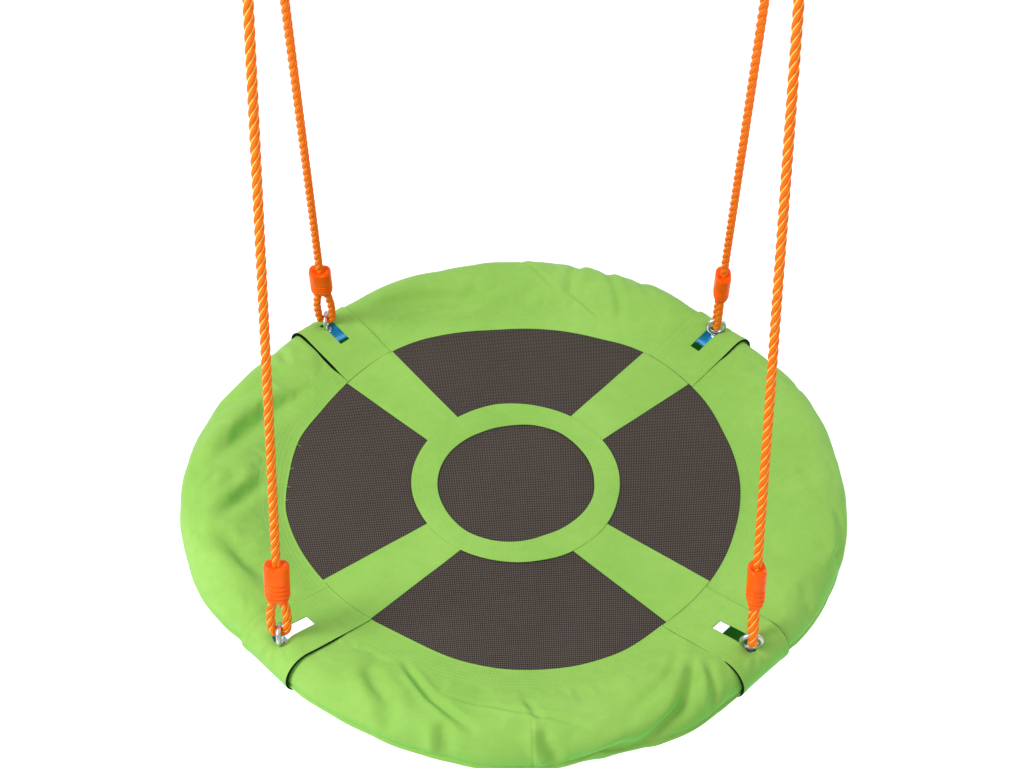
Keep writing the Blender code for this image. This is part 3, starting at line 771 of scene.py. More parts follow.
def make_eyebolts(looks):
    """Ring, collar and threaded shank, with a washer and a lock nut under the tube."""
    top = SEAT_Z + TUBE_Z + TUBE_R + GAP
    under = SEAT_Z + TUBE_Z - TUBE_R - GAP
    for word, place, side, end in CORNERS:
        centre = eye_centre(side, end)
        axis = eye_axis(side)
        shape = Shape()
        ring = torus_path(centre, axis.cross(Vector((0, 0, 1))), (0, 0, 1), EYE_R, 56)
        shape.tube(ring, EYE_WIRE_R, 18, closed=True)
        edge = COLLAR_R
        turned(shape, (centre.x, centre.y, top),
               [(0.0001, COLLAR_HEIGHT + 0.0022), (0.0042, COLLAR_HEIGHT + 0.0016),
                (0.0052, COLLAR_HEIGHT), (edge - 0.0006, COLLAR_HEIGHT), (edge, COLLAR_HEIGHT - 0.0006),
                (edge, 0.0006), (edge - 0.0006, 0.0), (0.0001, 0.0)])
        low = SHANK_BELOW + 2 * TUBE_R + GAP
        half_turns = int(low / THREAD_PITCH * 2)
        thread = [(SHANK_R - THREAD_DEPTH * (i % 2), -i * THREAD_PITCH / 2) for i in range(half_turns)]
        turned(shape, (centre.x, centre.y, top),
               [(0.0001, 0.0)] + thread + [(SHANK_R - 0.001, -low), (0.0001, -low)], 28)
        bolt = shape.piece(f"{word}_{place}_eyebolt_ring", [looks["zinc"]], 40)
        settle(bolt, "seat", f"{word}_{place}_eyebolt")
        shape = Shape()
        turned(shape, (centre.x, centre.y, under),
               [(SHANK_R + 0.0003, 0.0), (0.0086, 0.0), (0.0090, -0.0004), (0.0090, -0.0013),
                (0.0087, -0.0016), (SHANK_R + 0.0003, -0.0016), (SHANK_R + 0.0003, 0.0)])
        washer = shape.piece(f"{word}_{place}_plain_washer", [looks["zinc"]], 30)
        settle(washer, "seat", f"{word}_{place}_washer")
        nut = hex_nut(f"{word}_{place}_nyloc_nut", (centre.x, centre.y, under - 0.0019), looks)
        settle(nut, "seat", f"{word}_{place}_lock_nut")


def hex_nut(name, centre, looks):
    """Six flats with chamfered corners, and the pale insert in its lower end."""
    shape = Shape()
    steps = 96
    angles = full_turn(steps)
    flat = NUT_R * math.cos(math.pi / 6)
    hexagon = flat / np.cos((angles + math.pi / 6) % (math.pi / 3) - math.pi / 6)
    rows = []
    for limit, z in ((SHANK_R + 0.0003, 0.0), (flat * 0.97, 0.0), (NUT_R, -0.0007), (NUT_R, -0.0052),
                     (flat * 0.97, -0.0056), (flat * 0.90, -0.0056), (flat * 0.88, -0.0068),
                     (SHANK_R + 0.0012, -0.0068)):
        radius = np.minimum(hexagon, limit)
        rows.append(np.stack([centre[0] + radius * np.cos(angles), centre[1] + radius * np.sin(angles),
                              np.full(steps, centre[2] + z)], axis=-1))
    points = np.stack(rows, axis=1)
    shape.add(points.reshape(-1, 3), grid_faces(steps, len(rows), wrap_rows=True))
    turned(shape, centre, [(SHANK_R + 0.0012, -0.0067), (SHANK_R + 0.0002, -0.0064),
                           (SHANK_R + 0.0002, -0.0050)], steps, 1)
    return shape.piece(name, [looks["zinc"], looks["insert"]], 25)


def make_hooks(looks):
    """Hanging rings with their weld, and spring hooks with a pinned gate."""
    low_bow_z = HOOK_BOTTOM_Z + WIRE_R + HOOK_BOW_R
    top_bow_z = HOOK_TOP_Z - WIRE_R - HOOK_BOW_R
    pin_z, gate_top_z = low_bow_z + PIN_ABOVE_BOW, top_bow_z - GATE_BELOW_BOW
    for word, side in SIDES.items():
        shape = Shape()
        ring = torus_path((side * HANG_HALF, 0, RING_Z), (0, 1, 0), (0, 0, 1), RING_R, RING_STEPS)
        weld = 1 + WELD_RISE * bell((np.arange(RING_STEPS) - WELD_STEP) / 1.6)
        shape.tube(ring, WIRE_R * weld, 20, closed=True)
        made = shape.piece(f"{word}_welded_ring", [looks["zinc"]])
        settle(made, f"{word}_ring", f"{word}_hanging_ring")
        shape = Shape()
        route, flats = hook_wire(side, low_bow_z, top_bow_z, pin_z, gate_top_z)
        shape.tube(route, WIRE_R, 24, flat=flats)
        made = shape.piece(f"{word}_hook_wire", [looks["zinc"]])
        settle(made, "root", f"{word}_hook_body")
        x = side * (HANG_HALF + HOOK_BOW_R)
        made = gate_shape(x, pin_z, gate_top_z).piece(f"{word}_spring_gate", [looks["zinc"]])
        settle(made, f"{word}_gate", f"{word}_hook_gate")
        shape = Shape()
        ends = np.array([-WIRE_R, -WIRE_R + 0.0006, WIRE_R - 0.0006, WIRE_R])
        pin = np.array([(x, y, pin_z) for y in ends])
        shape.tube(pin, [0.0013, 0.0017, 0.0017, 0.0013], 20)
        made = shape.piece(f"{word}_gate_rivet", [looks["zinc"]])
        settle(made, "root", f"{word}_gate_pin")


def hook_wire(side, low_bow_z, top_bow_z, pin_z, gate_top_z):
    """The hook's wire from the gate's pin round both bows to the nose, and how flat it is."""
    points = [(1, pin_z + rise) for rise in (GATE_BELOW_PIN - 0.001, 0.001, -0.002, -0.006)]
    for way, bow_z in ((1, low_bow_z), (-1, top_bow_z)):
        for i in range(BOW_STEPS + 1):
            angle = math.pi * i / BOW_STEPS
            points.append((way * math.cos(angle), bow_z - way * HOOK_BOW_R * math.sin(angle)))
    points += [(1, gate_top_z + 0.003), (1, gate_top_z), (1, gate_top_z - 0.003)]
    route = np.array([(side * (HANG_HALF + HOOK_BOW_R * x), 0.0, z) for x, z in points])
    flats = np.ones(len(points))
    flats[:3] = flats[-2:] = CHEEK_FLATNESS
    flats[3] = flats[-3] = 0.85
    return route, flats


def gate_shape(x, pin_z, top_z):
    """A bar with two cheeks at the pin and two at the nose."""
    shape = Shape()
    low, high = pin_z + 0.0064, top_z - 0.0054
    heights = np.array([low, low + 0.0008, low + 0.003, high - 0.003, high - 0.0008, high])
    bar = np.array([(x, 0, z) for z in heights])
    shape.tube(bar, np.array([0.0036, 0.0039, 0.0038, 0.0038, 0.0039, 0.0036]), 24)
    for face in (-1, 1):
        y = face * 0.0030
        for start, end in ((pin_z - GATE_BELOW_PIN + 0.0003, low + 0.001), (high - 0.001, top_z - 0.0004)):
            cheek = np.array([(x, y, start + (end - start) * share) for share in CHEEK_SHARES])
            shape.tube(cheek, np.array([0.0020, 0.0030, 0.0034, 0.0030, 0.0020]), 20, flat=0.28)
    return shape


def make_tubes(looks):
    """Painted steel ring in four quarters, each with foam on it between the corners."""
    for word, middle in QUARTERS.items():
        half = math.degrees(SWAGE_LENGTH / FRAME_R) / 2
        main = np.linspace(middle - 45 + half + 0.6, middle + 45 + half - 0.05, TUBE_STEPS)
        plug = np.linspace(middle - 45 - half, middle - 45 + half, PLUG_STEPS)
        angles = np.radians(np.concatenate([plug, main]))
        radii = np.concatenate([np.full(PLUG_STEPS, PLUG_R), np.full(TUBE_STEPS, TUBE_R)])
        radii[0], radii[-1] = 0.0133, 0.0155
        shape = Shape()
        shape.tube(ring_points(angles), radii, 36)
        tube = shape.piece(f"{word}_painted_tube", [looks["paint"]])
        settle(tube, "seat", f"{word}_frame_tube")
        angles = np.radians(np.linspace(middle - FOAM_HALF_SPAN, middle + FOAM_HALF_SPAN, 100))
        cloth_angles, cloth_radii = CLOTH_INSIDE[word]
        radii = np.clip(np.interp(angles, cloth_angles, cloth_radii) - FOAM_CLEARANCE,
                        TUBE_R + 0.0010, FOAM_R)
        radii[[0, -1]] -= 0.0008
        shape = Shape()
        shape.tube(ring_points(angles), radii, 40)
        foam = shape.piece(f"{word}_foam_pipe", [looks["foam"]])
        settle(foam, "seat", f"{word}_foam_sleeve")


def ring_points(angles):
    return np.stack([FRAME_R * np.cos(angles), FRAME_R * np.sin(angles),
                     np.full(len(angles), SEAT_Z + TUBE_Z)], axis=-1)


# Seat cover: how the cloth lies. Distances along the cloth are measured from the seam at the mesh.

FOAM_CLEARANCE = 0.0022
FOAM_HALF_SPAN = 37.5
CLOTH_THICKNESS = 0.0010
PANEL_HALF = 0.0010
MESH_SAG = 0.0025
STITCH_ROWS = (0.004, 0.011, 0.018, 0.025, 0.032, 0.039)
ROW_SPAN = 0.045
ROW_DEPTH = 0.00030      # how far a row of stitches draws the cloth down
BAND_ROW_DEPTH = 0.00035
HEM_ANGLE = math.radians(-13)
HEM_ROLL = 0.0036        # radius of the piping in the hem
HEM_RISE = 0.0030
SEAM_LIFT = 0.0018       # the border lies on the mesh's edge
END_TUCK = 0.0015
# how full the border is round the seat: angle from +X in degrees, and the wrap's radius
FULLNESS = (
    (0, 0.0352), (15, 0.0355), (25, 0.0335), (30, 0.0320), (35, 0.0302), (39, 0.0292), (51, 0.0292),
    (55, 0.0345), (60, 0.0415), (68, 0.0415), (76, 0.0430), (90, 0.0430), (98, 0.0425), (106, 0.0385),
    (115, 0.0385), (120, 0.0350), (125, 0.0309), (129, 0.0292), (141, 0.0292), (145, 0.0305),
    (150, 0.0325), (155, 0.0350), (165, 0.0410), (180, 0.0500), (195, 0.0490), (205, 0.0440),
    (210, 0.0380), (215, 0.0314), (219, 0.0292), (231, 0.0285), (235, 0.0262), (240, 0.0250),
    (248, 0.0300), (256, 0.0355), (264, 0.0400), (278, 0.0400), (285, 0.0345), (290, 0.0350),
    (294, 0.0365), (300, 0.0338), (305, 0.0304), (309, 0.0292), (321, 0.0292), (325, 0.0303),
    (330, 0.0326), (340, 0.0355), (348, 0.0375), (355, 0.0360),
)
# how far the seam at the mesh's edge strays outwards from its circle: degrees, millimetres
SEAM_STRAY = (
    (0, -8), (20, -8), (32, -1), (54, 8), (60, 6), (66, 1), (78, 0), (98, -4), (105, 0), (120, 8),
    (128, 8), (146, 0), (155, -1), (166, 6), (180, 4), (192, 8), (200, 5), (214, -1), (238, -9),
    (245, -7), (256, 2), (268, 8), (284, 10), (296, 7), (308, -4), (330, -8), (342, -10), (352, -9),
)
# the same for the centre band: degrees, its inner edge, its outer edge
BAND_STRAY = (
    (0, -5, -8), (35, -4, -6), (60, 0, -2), (78, 0, 0), (103, -4, 5), (120, -4, 2), (150, 0, 1),
    (190, 3, 0), (205, 4, -1), (235, 8, 0), (255, 6, 0), (270, 3, 0), (290, -4, 0), (320, -4, -3),
    (345, -3, -8),
)

CLOTH_GRID_STEP = (6, 3)     # the simulated cloth takes every sixth column and third station
CLOTH_HELD = 46              # stations held still at the seam: those under the rows of stitches
CLOTH_FRAMES = 20
CLOTH_CAP = 0.0030           # how far the simulation may move the cloth

# what each make_ function leaves for the ones that run after it
BORDER_SURFACE = {}      # by quarter: points and normals
CLOTH_INSIDE = {}        # by quarter: angles and the least distance from the tube's line to the cloth
PATCH_SURFACE = {}       # by corner: points, normals and distances along the cloth
SPOKE_SURFACE = {}       # by corner: points


def wrap_radius(angle):
    """Radius of the border about the tube at an angle in degrees."""
    places, radii = np.array(FULLNESS).T
    near = [np.interp((np.asarray(angle) + shift) % 360, places, radii, period=360)
            for shift in (-3.0, -1.5, 0.0, 1.5, 3.0)]
    return sum(near) / len(near)


def stray_at(angle, table, column):
    """One column of a table of strays, evened out, at an angle in radians."""
    rows = np.array(table)
    near = [np.interp((np.degrees(angle) + shift) % 360, rows[:, 0], rows[:, column], period=360)
            for shift in (-2.0, 0.0, 2.0)]
    return 0.001 * sum(near) / len(near)


def seam_stray(angle):
    return stray_at(angle, SEAM_STRAY, 1)


def mesh_level(x, y):
    """Height of the mesh's upper face: slack in the middle, with faint ripples."""
    share = np.clip((x * x + y * y) / MESH_R ** 2, 0, 1)
    ripple = 0.0005 * np.sin(x * 27 + 1.0) * np.sin(y * 33 + 0.4) + 0.0003 * np.sin(x * 61 + y * 43)
    return PANEL_HALF - MESH_SAG * (1 - share) + ripple * (1 - share)


def section(seam_r, wrap_r, stations):
    """The loop of cloth round the padding: radius, height, direction of its normal, distance.

    A station is (part, t). Part 0 runs straight up from the seam to the wrap, and its t is a
    distance while below ROW_SPAN, then a share; part 1 goes round; part 2 runs back beneath.
    """
    wrap_r = np.asarray(wrap_r, dtype=float)[:, None]
    seam_r = np.asarray(seam_r, dtype=float)[:, None]
    part, t = (np.array(column)[None, :] for column in zip(*stations))
    reach = FRAME_R - seam_r
    tangent = math.pi - np.arccos(wrap_r / reach)
    side = np.sqrt(reach ** 2 - wrap_r ** 2)
    along = np.where(t < ROW_SPAN, t, ROW_SPAN + (t - ROW_SPAN) / (1 - ROW_SPAN) * (side - ROW_SPAN))
    share = np.where(part == 0, along / side, np.where(part == 2, 1 - t, 0.0))
    turn = np.where(part == 0, tangent, np.where(part == 2, -tangent, tangent * (1 - 2 * t)))
    touch_r, touch_z = FRAME_R + wrap_r * np.cos(turn), wrap_r * np.sin(turn)
    r = np.where(part == 1, touch_r, seam_r + (touch_r - seam_r) * share)
    z = np.where(part == 1, touch_z, touch_z * share)
    z = z + TUBE_Z * np.clip((r - seam_r) / reach, 0, 1)
    round_part = side + wrap_r * (tangent - turn)
    distance = np.where(part == 0, along, np.where(part == 1, round_part,
                                                  side + wrap_r * 2 * tangent + t * side))
    return r, z, np.broadcast_to(turn, r.shape), distance


def spaced(start, stop, step):
    return list(np.linspace(start, stop, max(2, int(round((stop - start) / step)) + 1)))


# close together where the rows of stitches are, and again at the hem
BORDER_STATIONS = (
    [(0, t) for t in spaced(0.0, 0.044, 0.001)]
    + [(0, t) for t in spaced(ROW_SPAN + 0.02, 0.97, 0.03)]
    + [(1, t) for t in spaced(0.0, 0.555, 1 / 80)]
    + [(1, t) for t in spaced(0.560, 0.640, 1 / 280)]
    + [(1, t) for t in spaced(0.650, 1.0, 1 / 60)]
    + [(2, t) for t in spaced(0.05, 1.0, 0.05)]
)
BORDER_COLUMNS = 320
OUTERMOST_STATION = BORDER_STATIONS.index((1, min((t for part, t in BORDER_STATIONS if part == 1),
                                                  key=lambda t: abs(t - 0.5))))


class Fold:
    """A soft crease through some places, each (angle in degrees, distance along the cloth).

    A positive lean lifts the cloth on the crease's left, a negative one on its right.
    """

    def __init__(self, places, width, depth, lean=0.0):
        self.places = [np.array([math.radians(angle) * FRAME_R, distance]) for angle, distance in places]
        self.width, self.depth, self.lean = width, depth, lean

    def height(self, u, v):
        runs = [b - a for a, b in zip(self.places, self.places[1:])]
        lengths = [float(np.hypot(*run)) for run in runs]
        total, before = sum(lengths), 0.0
        nearest = np.full(u.shape, np.inf)
        off, share = np.zeros(u.shape), np.zeros(u.shape)
        for place, run, length in zip(self.places, runs, lengths):
            ahead = run / length
            along = np.clip((u - place[0]) * ahead[0] + (v - place[1]) * ahead[1], 0.0, length)
            gap_u, gap_v = u - place[0] - along * ahead[0], v - place[1] - along * ahead[1]
            gap = np.hypot(gap_u, gap_v)
            closer = gap < nearest
            side = np.where(gap_v * ahead[0] - gap_u * ahead[1] < 0, -1.0, 1.0)
            nearest = np.where(closer, gap, nearest)
            off = np.where(closer, side * gap / self.width, off)
            share = np.where(closer, (before + along) / total, share)
            before += length
        window = smooth_step(share / 0.3) * smooth_step((1 - share) / 0.3)
        left = bell(off - 1.7) * (0.45 + self.lean)
        right = bell(off + 1.7) * (0.45 - self.lean)
        return -self.depth * window * (bell(off) - left - right)


# angles run from -135 to 225 degrees, as the quarters do
FOLDS = {
    "front": [
        Fold([(-115, 0.035), (-103, 0.097), (-94, 0.145)], 0.0065, 0.0046, 0.15),
        Fold([(-121, 0.070), (-112, 0.115), (-108, 0.160)], 0.013, 0.0044, 0.2),
        Fold([(-105, 0.076), (-93, 0.086), (-84, 0.105), (-75, 0.133)], 0.0050, 0.0026, 0.3),
        Fold([(-88, 0.062), (-87, 0.085), (-85, 0.120)], 0.0060, 0.0022, 0.3),
        Fold([(-85.5, 0.115), (-85, 0.140), (-83, 0.178)], 0.0090, 0.0046, 0.4),
        Fold([(-102, 0.120), (-101, 0.140), (-100, 0.175)], 0.0100, 0.0042, 0.35),
        Fold([(-84, 0.178), (-76, 0.168), (-68, 0.158), (-58, 0.130)], 0.0150, 0.0060, -0.4),
        Fold([(-72, 0.115), (-62, 0.085), (-54, 0.055)], 0.0090, 0.0034),
        Fold([(-65, 0.155), (-60, 0.120), (-54, 0.075)], 0.0095, 0.0052, -0.2),
        Fold([(-58, 0.165), (-55.5, 0.130), (-53, 0.090)], 0.0070, 0.0040, -0.2),
        Fold([(-71, 0.175), (-66, 0.150), (-61, 0.128)], 0.0080, 0.0032),
        Fold([(-79, 0.185), (-75, 0.160), (-71, 0.148)], 0.0090, 0.0034),
    ],
    "left": [
        Fold([(150, 0.028), (158, 0.050), (167, 0.066), (175, 0.093), (185, 0.140)], 0.0170, 0.0088, 0.35),
        Fold([(181, 0.030), (186, 0.045), (192, 0.080), (197, 0.130)], 0.0135, 0.0060, 0.25),
        Fold([(195, 0.125), (203, 0.096), (214, 0.066)], 0.0190, 0.0070, 0.35),
        Fold([(156, 0.095), (162, 0.120), (168, 0.150)], 0.0120, 0.0036),
        Fold([(184, 0.108), (186, 0.120), (189, 0.145)], 0.0080, 0.0030),
        Fold([(150, 0.090), (147, 0.120), (146, 0.150)], 0.0080, 0.0024),
        Fold([(216, 0.130), (211, 0.150), (207, 0.180)], 0.0090, 0.0022),
    ],
    "right": [
        Fold([(-5, 0.030), (-3, 0.045), (3, 0.134)], 0.0045, 0.0015),
        Fold([(-7, 0.140), (-10, 0.150), (-22, 0.170)], 0.0070, 0.0034),
        Fold([(-15, 0.180), (-19, 0.160), (-24, 0.150)], 0.0060, 0.0022),
        Fold([(-36, 0.085), (-29, 0.100), (-22, 0.070)], 0.0110, 0.0012),
        Fold([(22, 0.160), (28, 0.130), (34, 0.090)], 0.0090, 0.0016),
        Fold([(-34, 0.170), (-30, 0.140), (-26, 0.110)], 0.0080, 0.0010),
    ],
    "rear": [
        Fold([(130, 0.108), (119, 0.081), (105, 0.064), (90, 0.088)], 0.0150, 0.0070, 0.2),
        Fold([(93, 0.185), (91, 0.165), (86, 0.110), (80, 0.065)], 0.0045, 0.0018, -0.2),
        Fold([(78, 0.185), (79, 0.150), (79, 0.085), (76, 0.065)], 0.0100, 0.0042, -0.2),
        Fold([(80, 0.082), (75, 0.060), (69, 0.036)], 0.0045, 0.0026),
        Fold([(74, 0.185), (72, 0.140), (67, 0.080), (64, 0.032)], 0.0080, 0.0034, -0.2),
        Fold([(67, 0.180), (64, 0.130), (60, 0.095)], 0.0090, 0.0018),
    ],
}
FRONT_SEAM_ANGLE = -87.0


def soft_noise(points, scale, seed):
    """Smooth noise at each point of an array, from -1 to 1."""
    flat = points.reshape(-1, 3) * scale
    shift = Vector((seed * 7.3, seed * 3.1, seed * 1.7))
    values = [noise.noise(Vector(p) + shift) for p in flat]
    return np.array(values).reshape(points.shape[:-1])


def border_base(word, middle):
    """One quarter of the border before its folds: polar places, normals and distances."""
    share = np.linspace(-1, 1, BORDER_COLUMNS + 1)
    ends = math.degrees(math.asin((PATCH_HALF - END_TUCK) / FRAME_R))
    nominal = middle + share * (45 - ends)
    seam_r = MESH_R + seam_stray(np.radians(nominal))
    r, z, turn, distance = section(seam_r, wrap_radius(nominal), BORDER_STATIONS)
    cut = np.degrees(np.arcsin((PATCH_HALF - END_TUCK) / r))
    angle = np.radians(middle + share[:, None] * (45 - cut))
    return r, z, turn, distance, angle


def polar_points(r, z, angle):
    return np.stack([r * np.cos(angle), r * np.sin(angle), z + SEAT_Z], axis=-1)


def cloth_normals(turn, angle):
    return np.stack([np.cos(turn) * np.cos(angle), np.cos(turn) * np.sin(angle), np.sin(turn)], axis=-1)


def cloth_piece(name, node, looks, points, thickness, uv=None, faces=None, closed=False):
    """A grid of points as a sheet of cloth on the seat, given its thickness inwards."""
    if faces is None:
        faces = grid_faces(*points.shape[:2], wrap_rows=closed)
    shape = Shape()
    shape.add(points.reshape(-1, 3), faces, 0, None if uv is None else uv.reshape(-1, 2))
    made = shape.piece(name, looks, 80)
    thicken(made, thickness)
    settle(made, "seat", node)
    return made


def row_grooves(distance, rows, depth):
    """Each row of stitches draws the cloth down a little."""
    return sum(-depth * bell((distance - row) / 0.0010) for row in rows)


def border_relief(word, r, z, turn, distance, angle):
    """Height of the border's folds, puckers, seams and hem above its smooth shape."""
    u = angle * FRAME_R
    points = polar_points(r, z, angle)
    height = sum(fold.height(u, distance) for fold in FOLDS[word])
    span = smooth_step((distance - 0.03) / 0.06)
    crumple = 0.25 - np.abs(soft_noise(points, 13.0, 10))
    height = height + span * (0.0022 * soft_noise(points, 9.0, 1) + 0.0009 * soft_noise(points, 24.0, 2)
                              - 0.0020 * crumple)
    stitched = smooth_step((0.046 - distance) / 0.008)
    pucker = 0.00030 * np.sin(u / 0.0054 * 2 * math.pi + 2.0 * soft_noise(points, 40.0, 3))
    height = height + stitched * (pucker + row_grooves(distance, STITCH_ROWS, ROW_DEPTH))
    hem = (HEM_ANGLE - turn) * SLEEVE_R
    gather = np.sin(u / 0.019 * 2 * math.pi + 5.0 * soft_noise(points, 12.0, 4))
    height = height + HEM_RISE * np.sqrt(np.maximum(0.0, 1 - ((hem - HEM_ROLL) / HEM_ROLL) ** 2))
    height = height - (0.0007 + 0.0003 * gather) * bell((hem + 0.0022) / 0.0018)
    if word == "front":
        seam = (u - math.radians(FRONT_SEAM_ANGLE) * FRAME_R) / 0.0012
        height = height - 0.0010 * bell(seam) * smooth_step((distance - 0.105) / 0.01)
    return height


def make_border(looks):
    for word, middle in QUARTERS.items():
        r, z, turn, distance, angle = border_base(word, middle)
        height = border_relief(word, r, z, turn, distance, angle)
        height = height + cloth_swell(polar_points(r, z, angle), r, turn, angle, height)
        points = polar_points(r + height * np.cos(turn), z + height * np.sin(turn), angle)
        points[..., 2] += SEAM_LIFT * np.exp(-distance / 0.005)
        points[:, -1, 2] -= 0.0014
        uv = np.stack([angle * FRAME_R, distance], axis=-1)
        made = cloth_piece(f"{word}_padded_border", f"{word}_border_sleeve",
                           [looks["cloth"], looks["inside_shade"]], points, CLOTH_THICKNESS, uv)
        BORDER_SURFACE[word] = (points, cloth_normals(turn, angle))
        off_axis = np.hypot(np.hypot(points[..., 0], points[..., 1]) - FRAME_R,
                            points[..., 2] - SEAT_Z - TUBE_Z)
        CLOTH_INSIDE[word] = (angle[:, OUTERMOST_STATION], off_axis.min(axis=1))


def thicken(piece, thickness):
    """Give cloth its thickness inwards; the inside and the rim take the piece's last material."""
    shell = piece.modifiers.new("cloth", "SOLIDIFY")
    shell.thickness = thickness
    shell.offset = -1.0
    shell.material_offset = len(piece.data.materials) - 1
    shell.material_offset_rim = len(piece.data.materials) - 1


def cloth_swell(points, r, turn, angle, start):
    """Cloth simulation on a coarse copy of a border quarter; how far it moves along the normal."""
    normals = cloth_normals(turn, angle)
    rows = np.arange(0, points.shape[0], CLOTH_GRID_STEP[0])
    columns = np.arange(0, points.shape[1], CLOTH_GRID_STEP[1])
    columns = np.unique(np.append(columns, points.shape[1] - 1))
    pick = np.ix_(rows, columns)
    coarse = (points + normals * start[..., None])[pick]
    mesh = bpy.data.meshes.new("cloth")
    mesh.from_pydata(coarse.reshape(-1, 3).tolist(), [], grid_faces(*coarse.shape[:2]))
    piece = bpy.data.objects.new("cloth", mesh)
    bpy.context.scene.collection.objects.link(piece)
    held = np.zeros(coarse.shape[:2], dtype=bool)
    held[0, :] = held[-1, :] = True
    held[:, columns < CLOTH_HELD] = True
    held[:, -3:] = True
    group = piece.vertex_groups.new(name="held")
    group.add([int(i) for i in np.flatnonzero(held)], 1.0, "REPLACE")
    step = piece.modifiers.new("cloth", "CLOTH")
    cloth = step.settings
    cloth.quality = 6
    cloth.mass = 0.15
    cloth.tension_stiffness = cloth.compression_stiffness = 20
    cloth.bending_stiffness = 3.0
    cloth.vertex_group_mass = "held"
    cloth.shrink_min = -0.008
    cloth.use_pressure = True
    cloth.uniform_pressure_force = 1.5
    cloth.effector_weights.gravity = 0.0
    step.collision_settings.use_collision = False
    scene = bpy.context.scene
    scene.frame_start, scene.frame_end = 1, CLOTH_FRAMES
    step.point_cache.frame_start, step.point_cache.frame_end = 1, CLOTH_FRAMES
    for moment in range(1, CLOTH_FRAMES + 1):
        scene.frame_set(moment)
    graph = bpy.context.evaluated_depsgraph_get()
    result = piece.evaluated_get(graph).data
    moved = np.empty(len(result.vertices) * 3)
    result.vertices.foreach_get("co", moved)
    scene.frame_set(1)
    moved = moved.reshape(coarse.shape) - coarse
    bpy.data.objects.remove(piece, do_unlink=True)
    rise = np.clip((moved * normals[pick]).sum(axis=-1), -CLOTH_CAP, CLOTH_CAP)
    all_columns = np.arange(points.shape[1])
    rise = np.stack([np.interp(all_columns, columns, row) for row in rise])
    return np.stack([np.interp(np.arange(points.shape[0]), rows, line) for line in rise.T], axis=1)


# Corner patches

DIP_DEPTH = 0.0090
DIP_REACH = 0.0130
DIP_OUTWARD = 0.002
HEM_INSET = 0.0100
PATCH_LIFT = 0.0005
PATCH_THICKNESS = 0.0012
UNDERSIDE_TURN = -1.3    # the patch's underside has its normal turned down past this, in radians
SLOT_GIVE = 0.0012       # how far the slot's sides give way to the eyebolt's ring
SLOT_ROUND = 0.0030      # how far its outer end is rounded
# the opening beneath: inner radius, half width, and each corner's outer radius
UNDER_INNER_R = 0.352
UNDER_HALF = 0.042
UNDER_OUTER_R = {(-1, -1): 0.424, (1, -1): 0.3935, (-1, 1): 0.424, (1, 1): 0.424}


def patch_lines():
    """Lines across the patch, closer at the slot's edges."""
    outer = spaced(SLOT_HALF, 0.037, 0.0016)
    hem = spaced(0.037, 0.0395, 0.0006)[1:]
    edge = spaced(0.0395, PATCH_HALF, 0.0015)[1:]
    half = outer + hem + edge
    return np.array([-y for y in reversed(half)] + spaced(-SLOT_HALF, SLOT_HALF, 0.0015)[1:-1] + half)


def patch_stations(slot_inner):
    """Places along the patch's loop, with one on each end of the slot."""
    tangent = math.pi - math.acos(PATCH_R / (FRAME_R - MESH_R))
    side = math.sqrt((FRAME_R - MESH_R) ** 2 - PATCH_R ** 2)
    inner = (slot_inner - MESH_R) / math.sin(tangent)
    inner = ROW_SPAN + (inner - ROW_SPAN) / (side - ROW_SPAN) * (1 - ROW_SPAN)
    outer = (1 - math.acos((SLOT_OUTER_R - FRAME_R) / PATCH_R) / tangent) / 2
    return (
        [(0, t) for t in spaced(0.0, 0.044, 0.0011)]
        + [(0, t) for t in spaced(ROW_SPAN + 0.004, inner, 0.02)]
        + [(0, t) for t in spaced(inner, 0.985, 0.022)[1:]]
        + [(1, t) for t in spaced(0.0, outer, 1 / 70)]
        + [(1, t) for t in spaced(outer, 1.0, 1 / 70)[1:]]
        + [(2, t) for t in spaced(0.03, 1.0, 0.03)]
    )


def from_corner(x, y, angle):
    """Places in a corner's own frame, +X out along the corner, in the seat's frame."""
    return x * math.cos(angle) - y * math.sin(angle), x * math.sin(angle) + y * math.cos(angle)


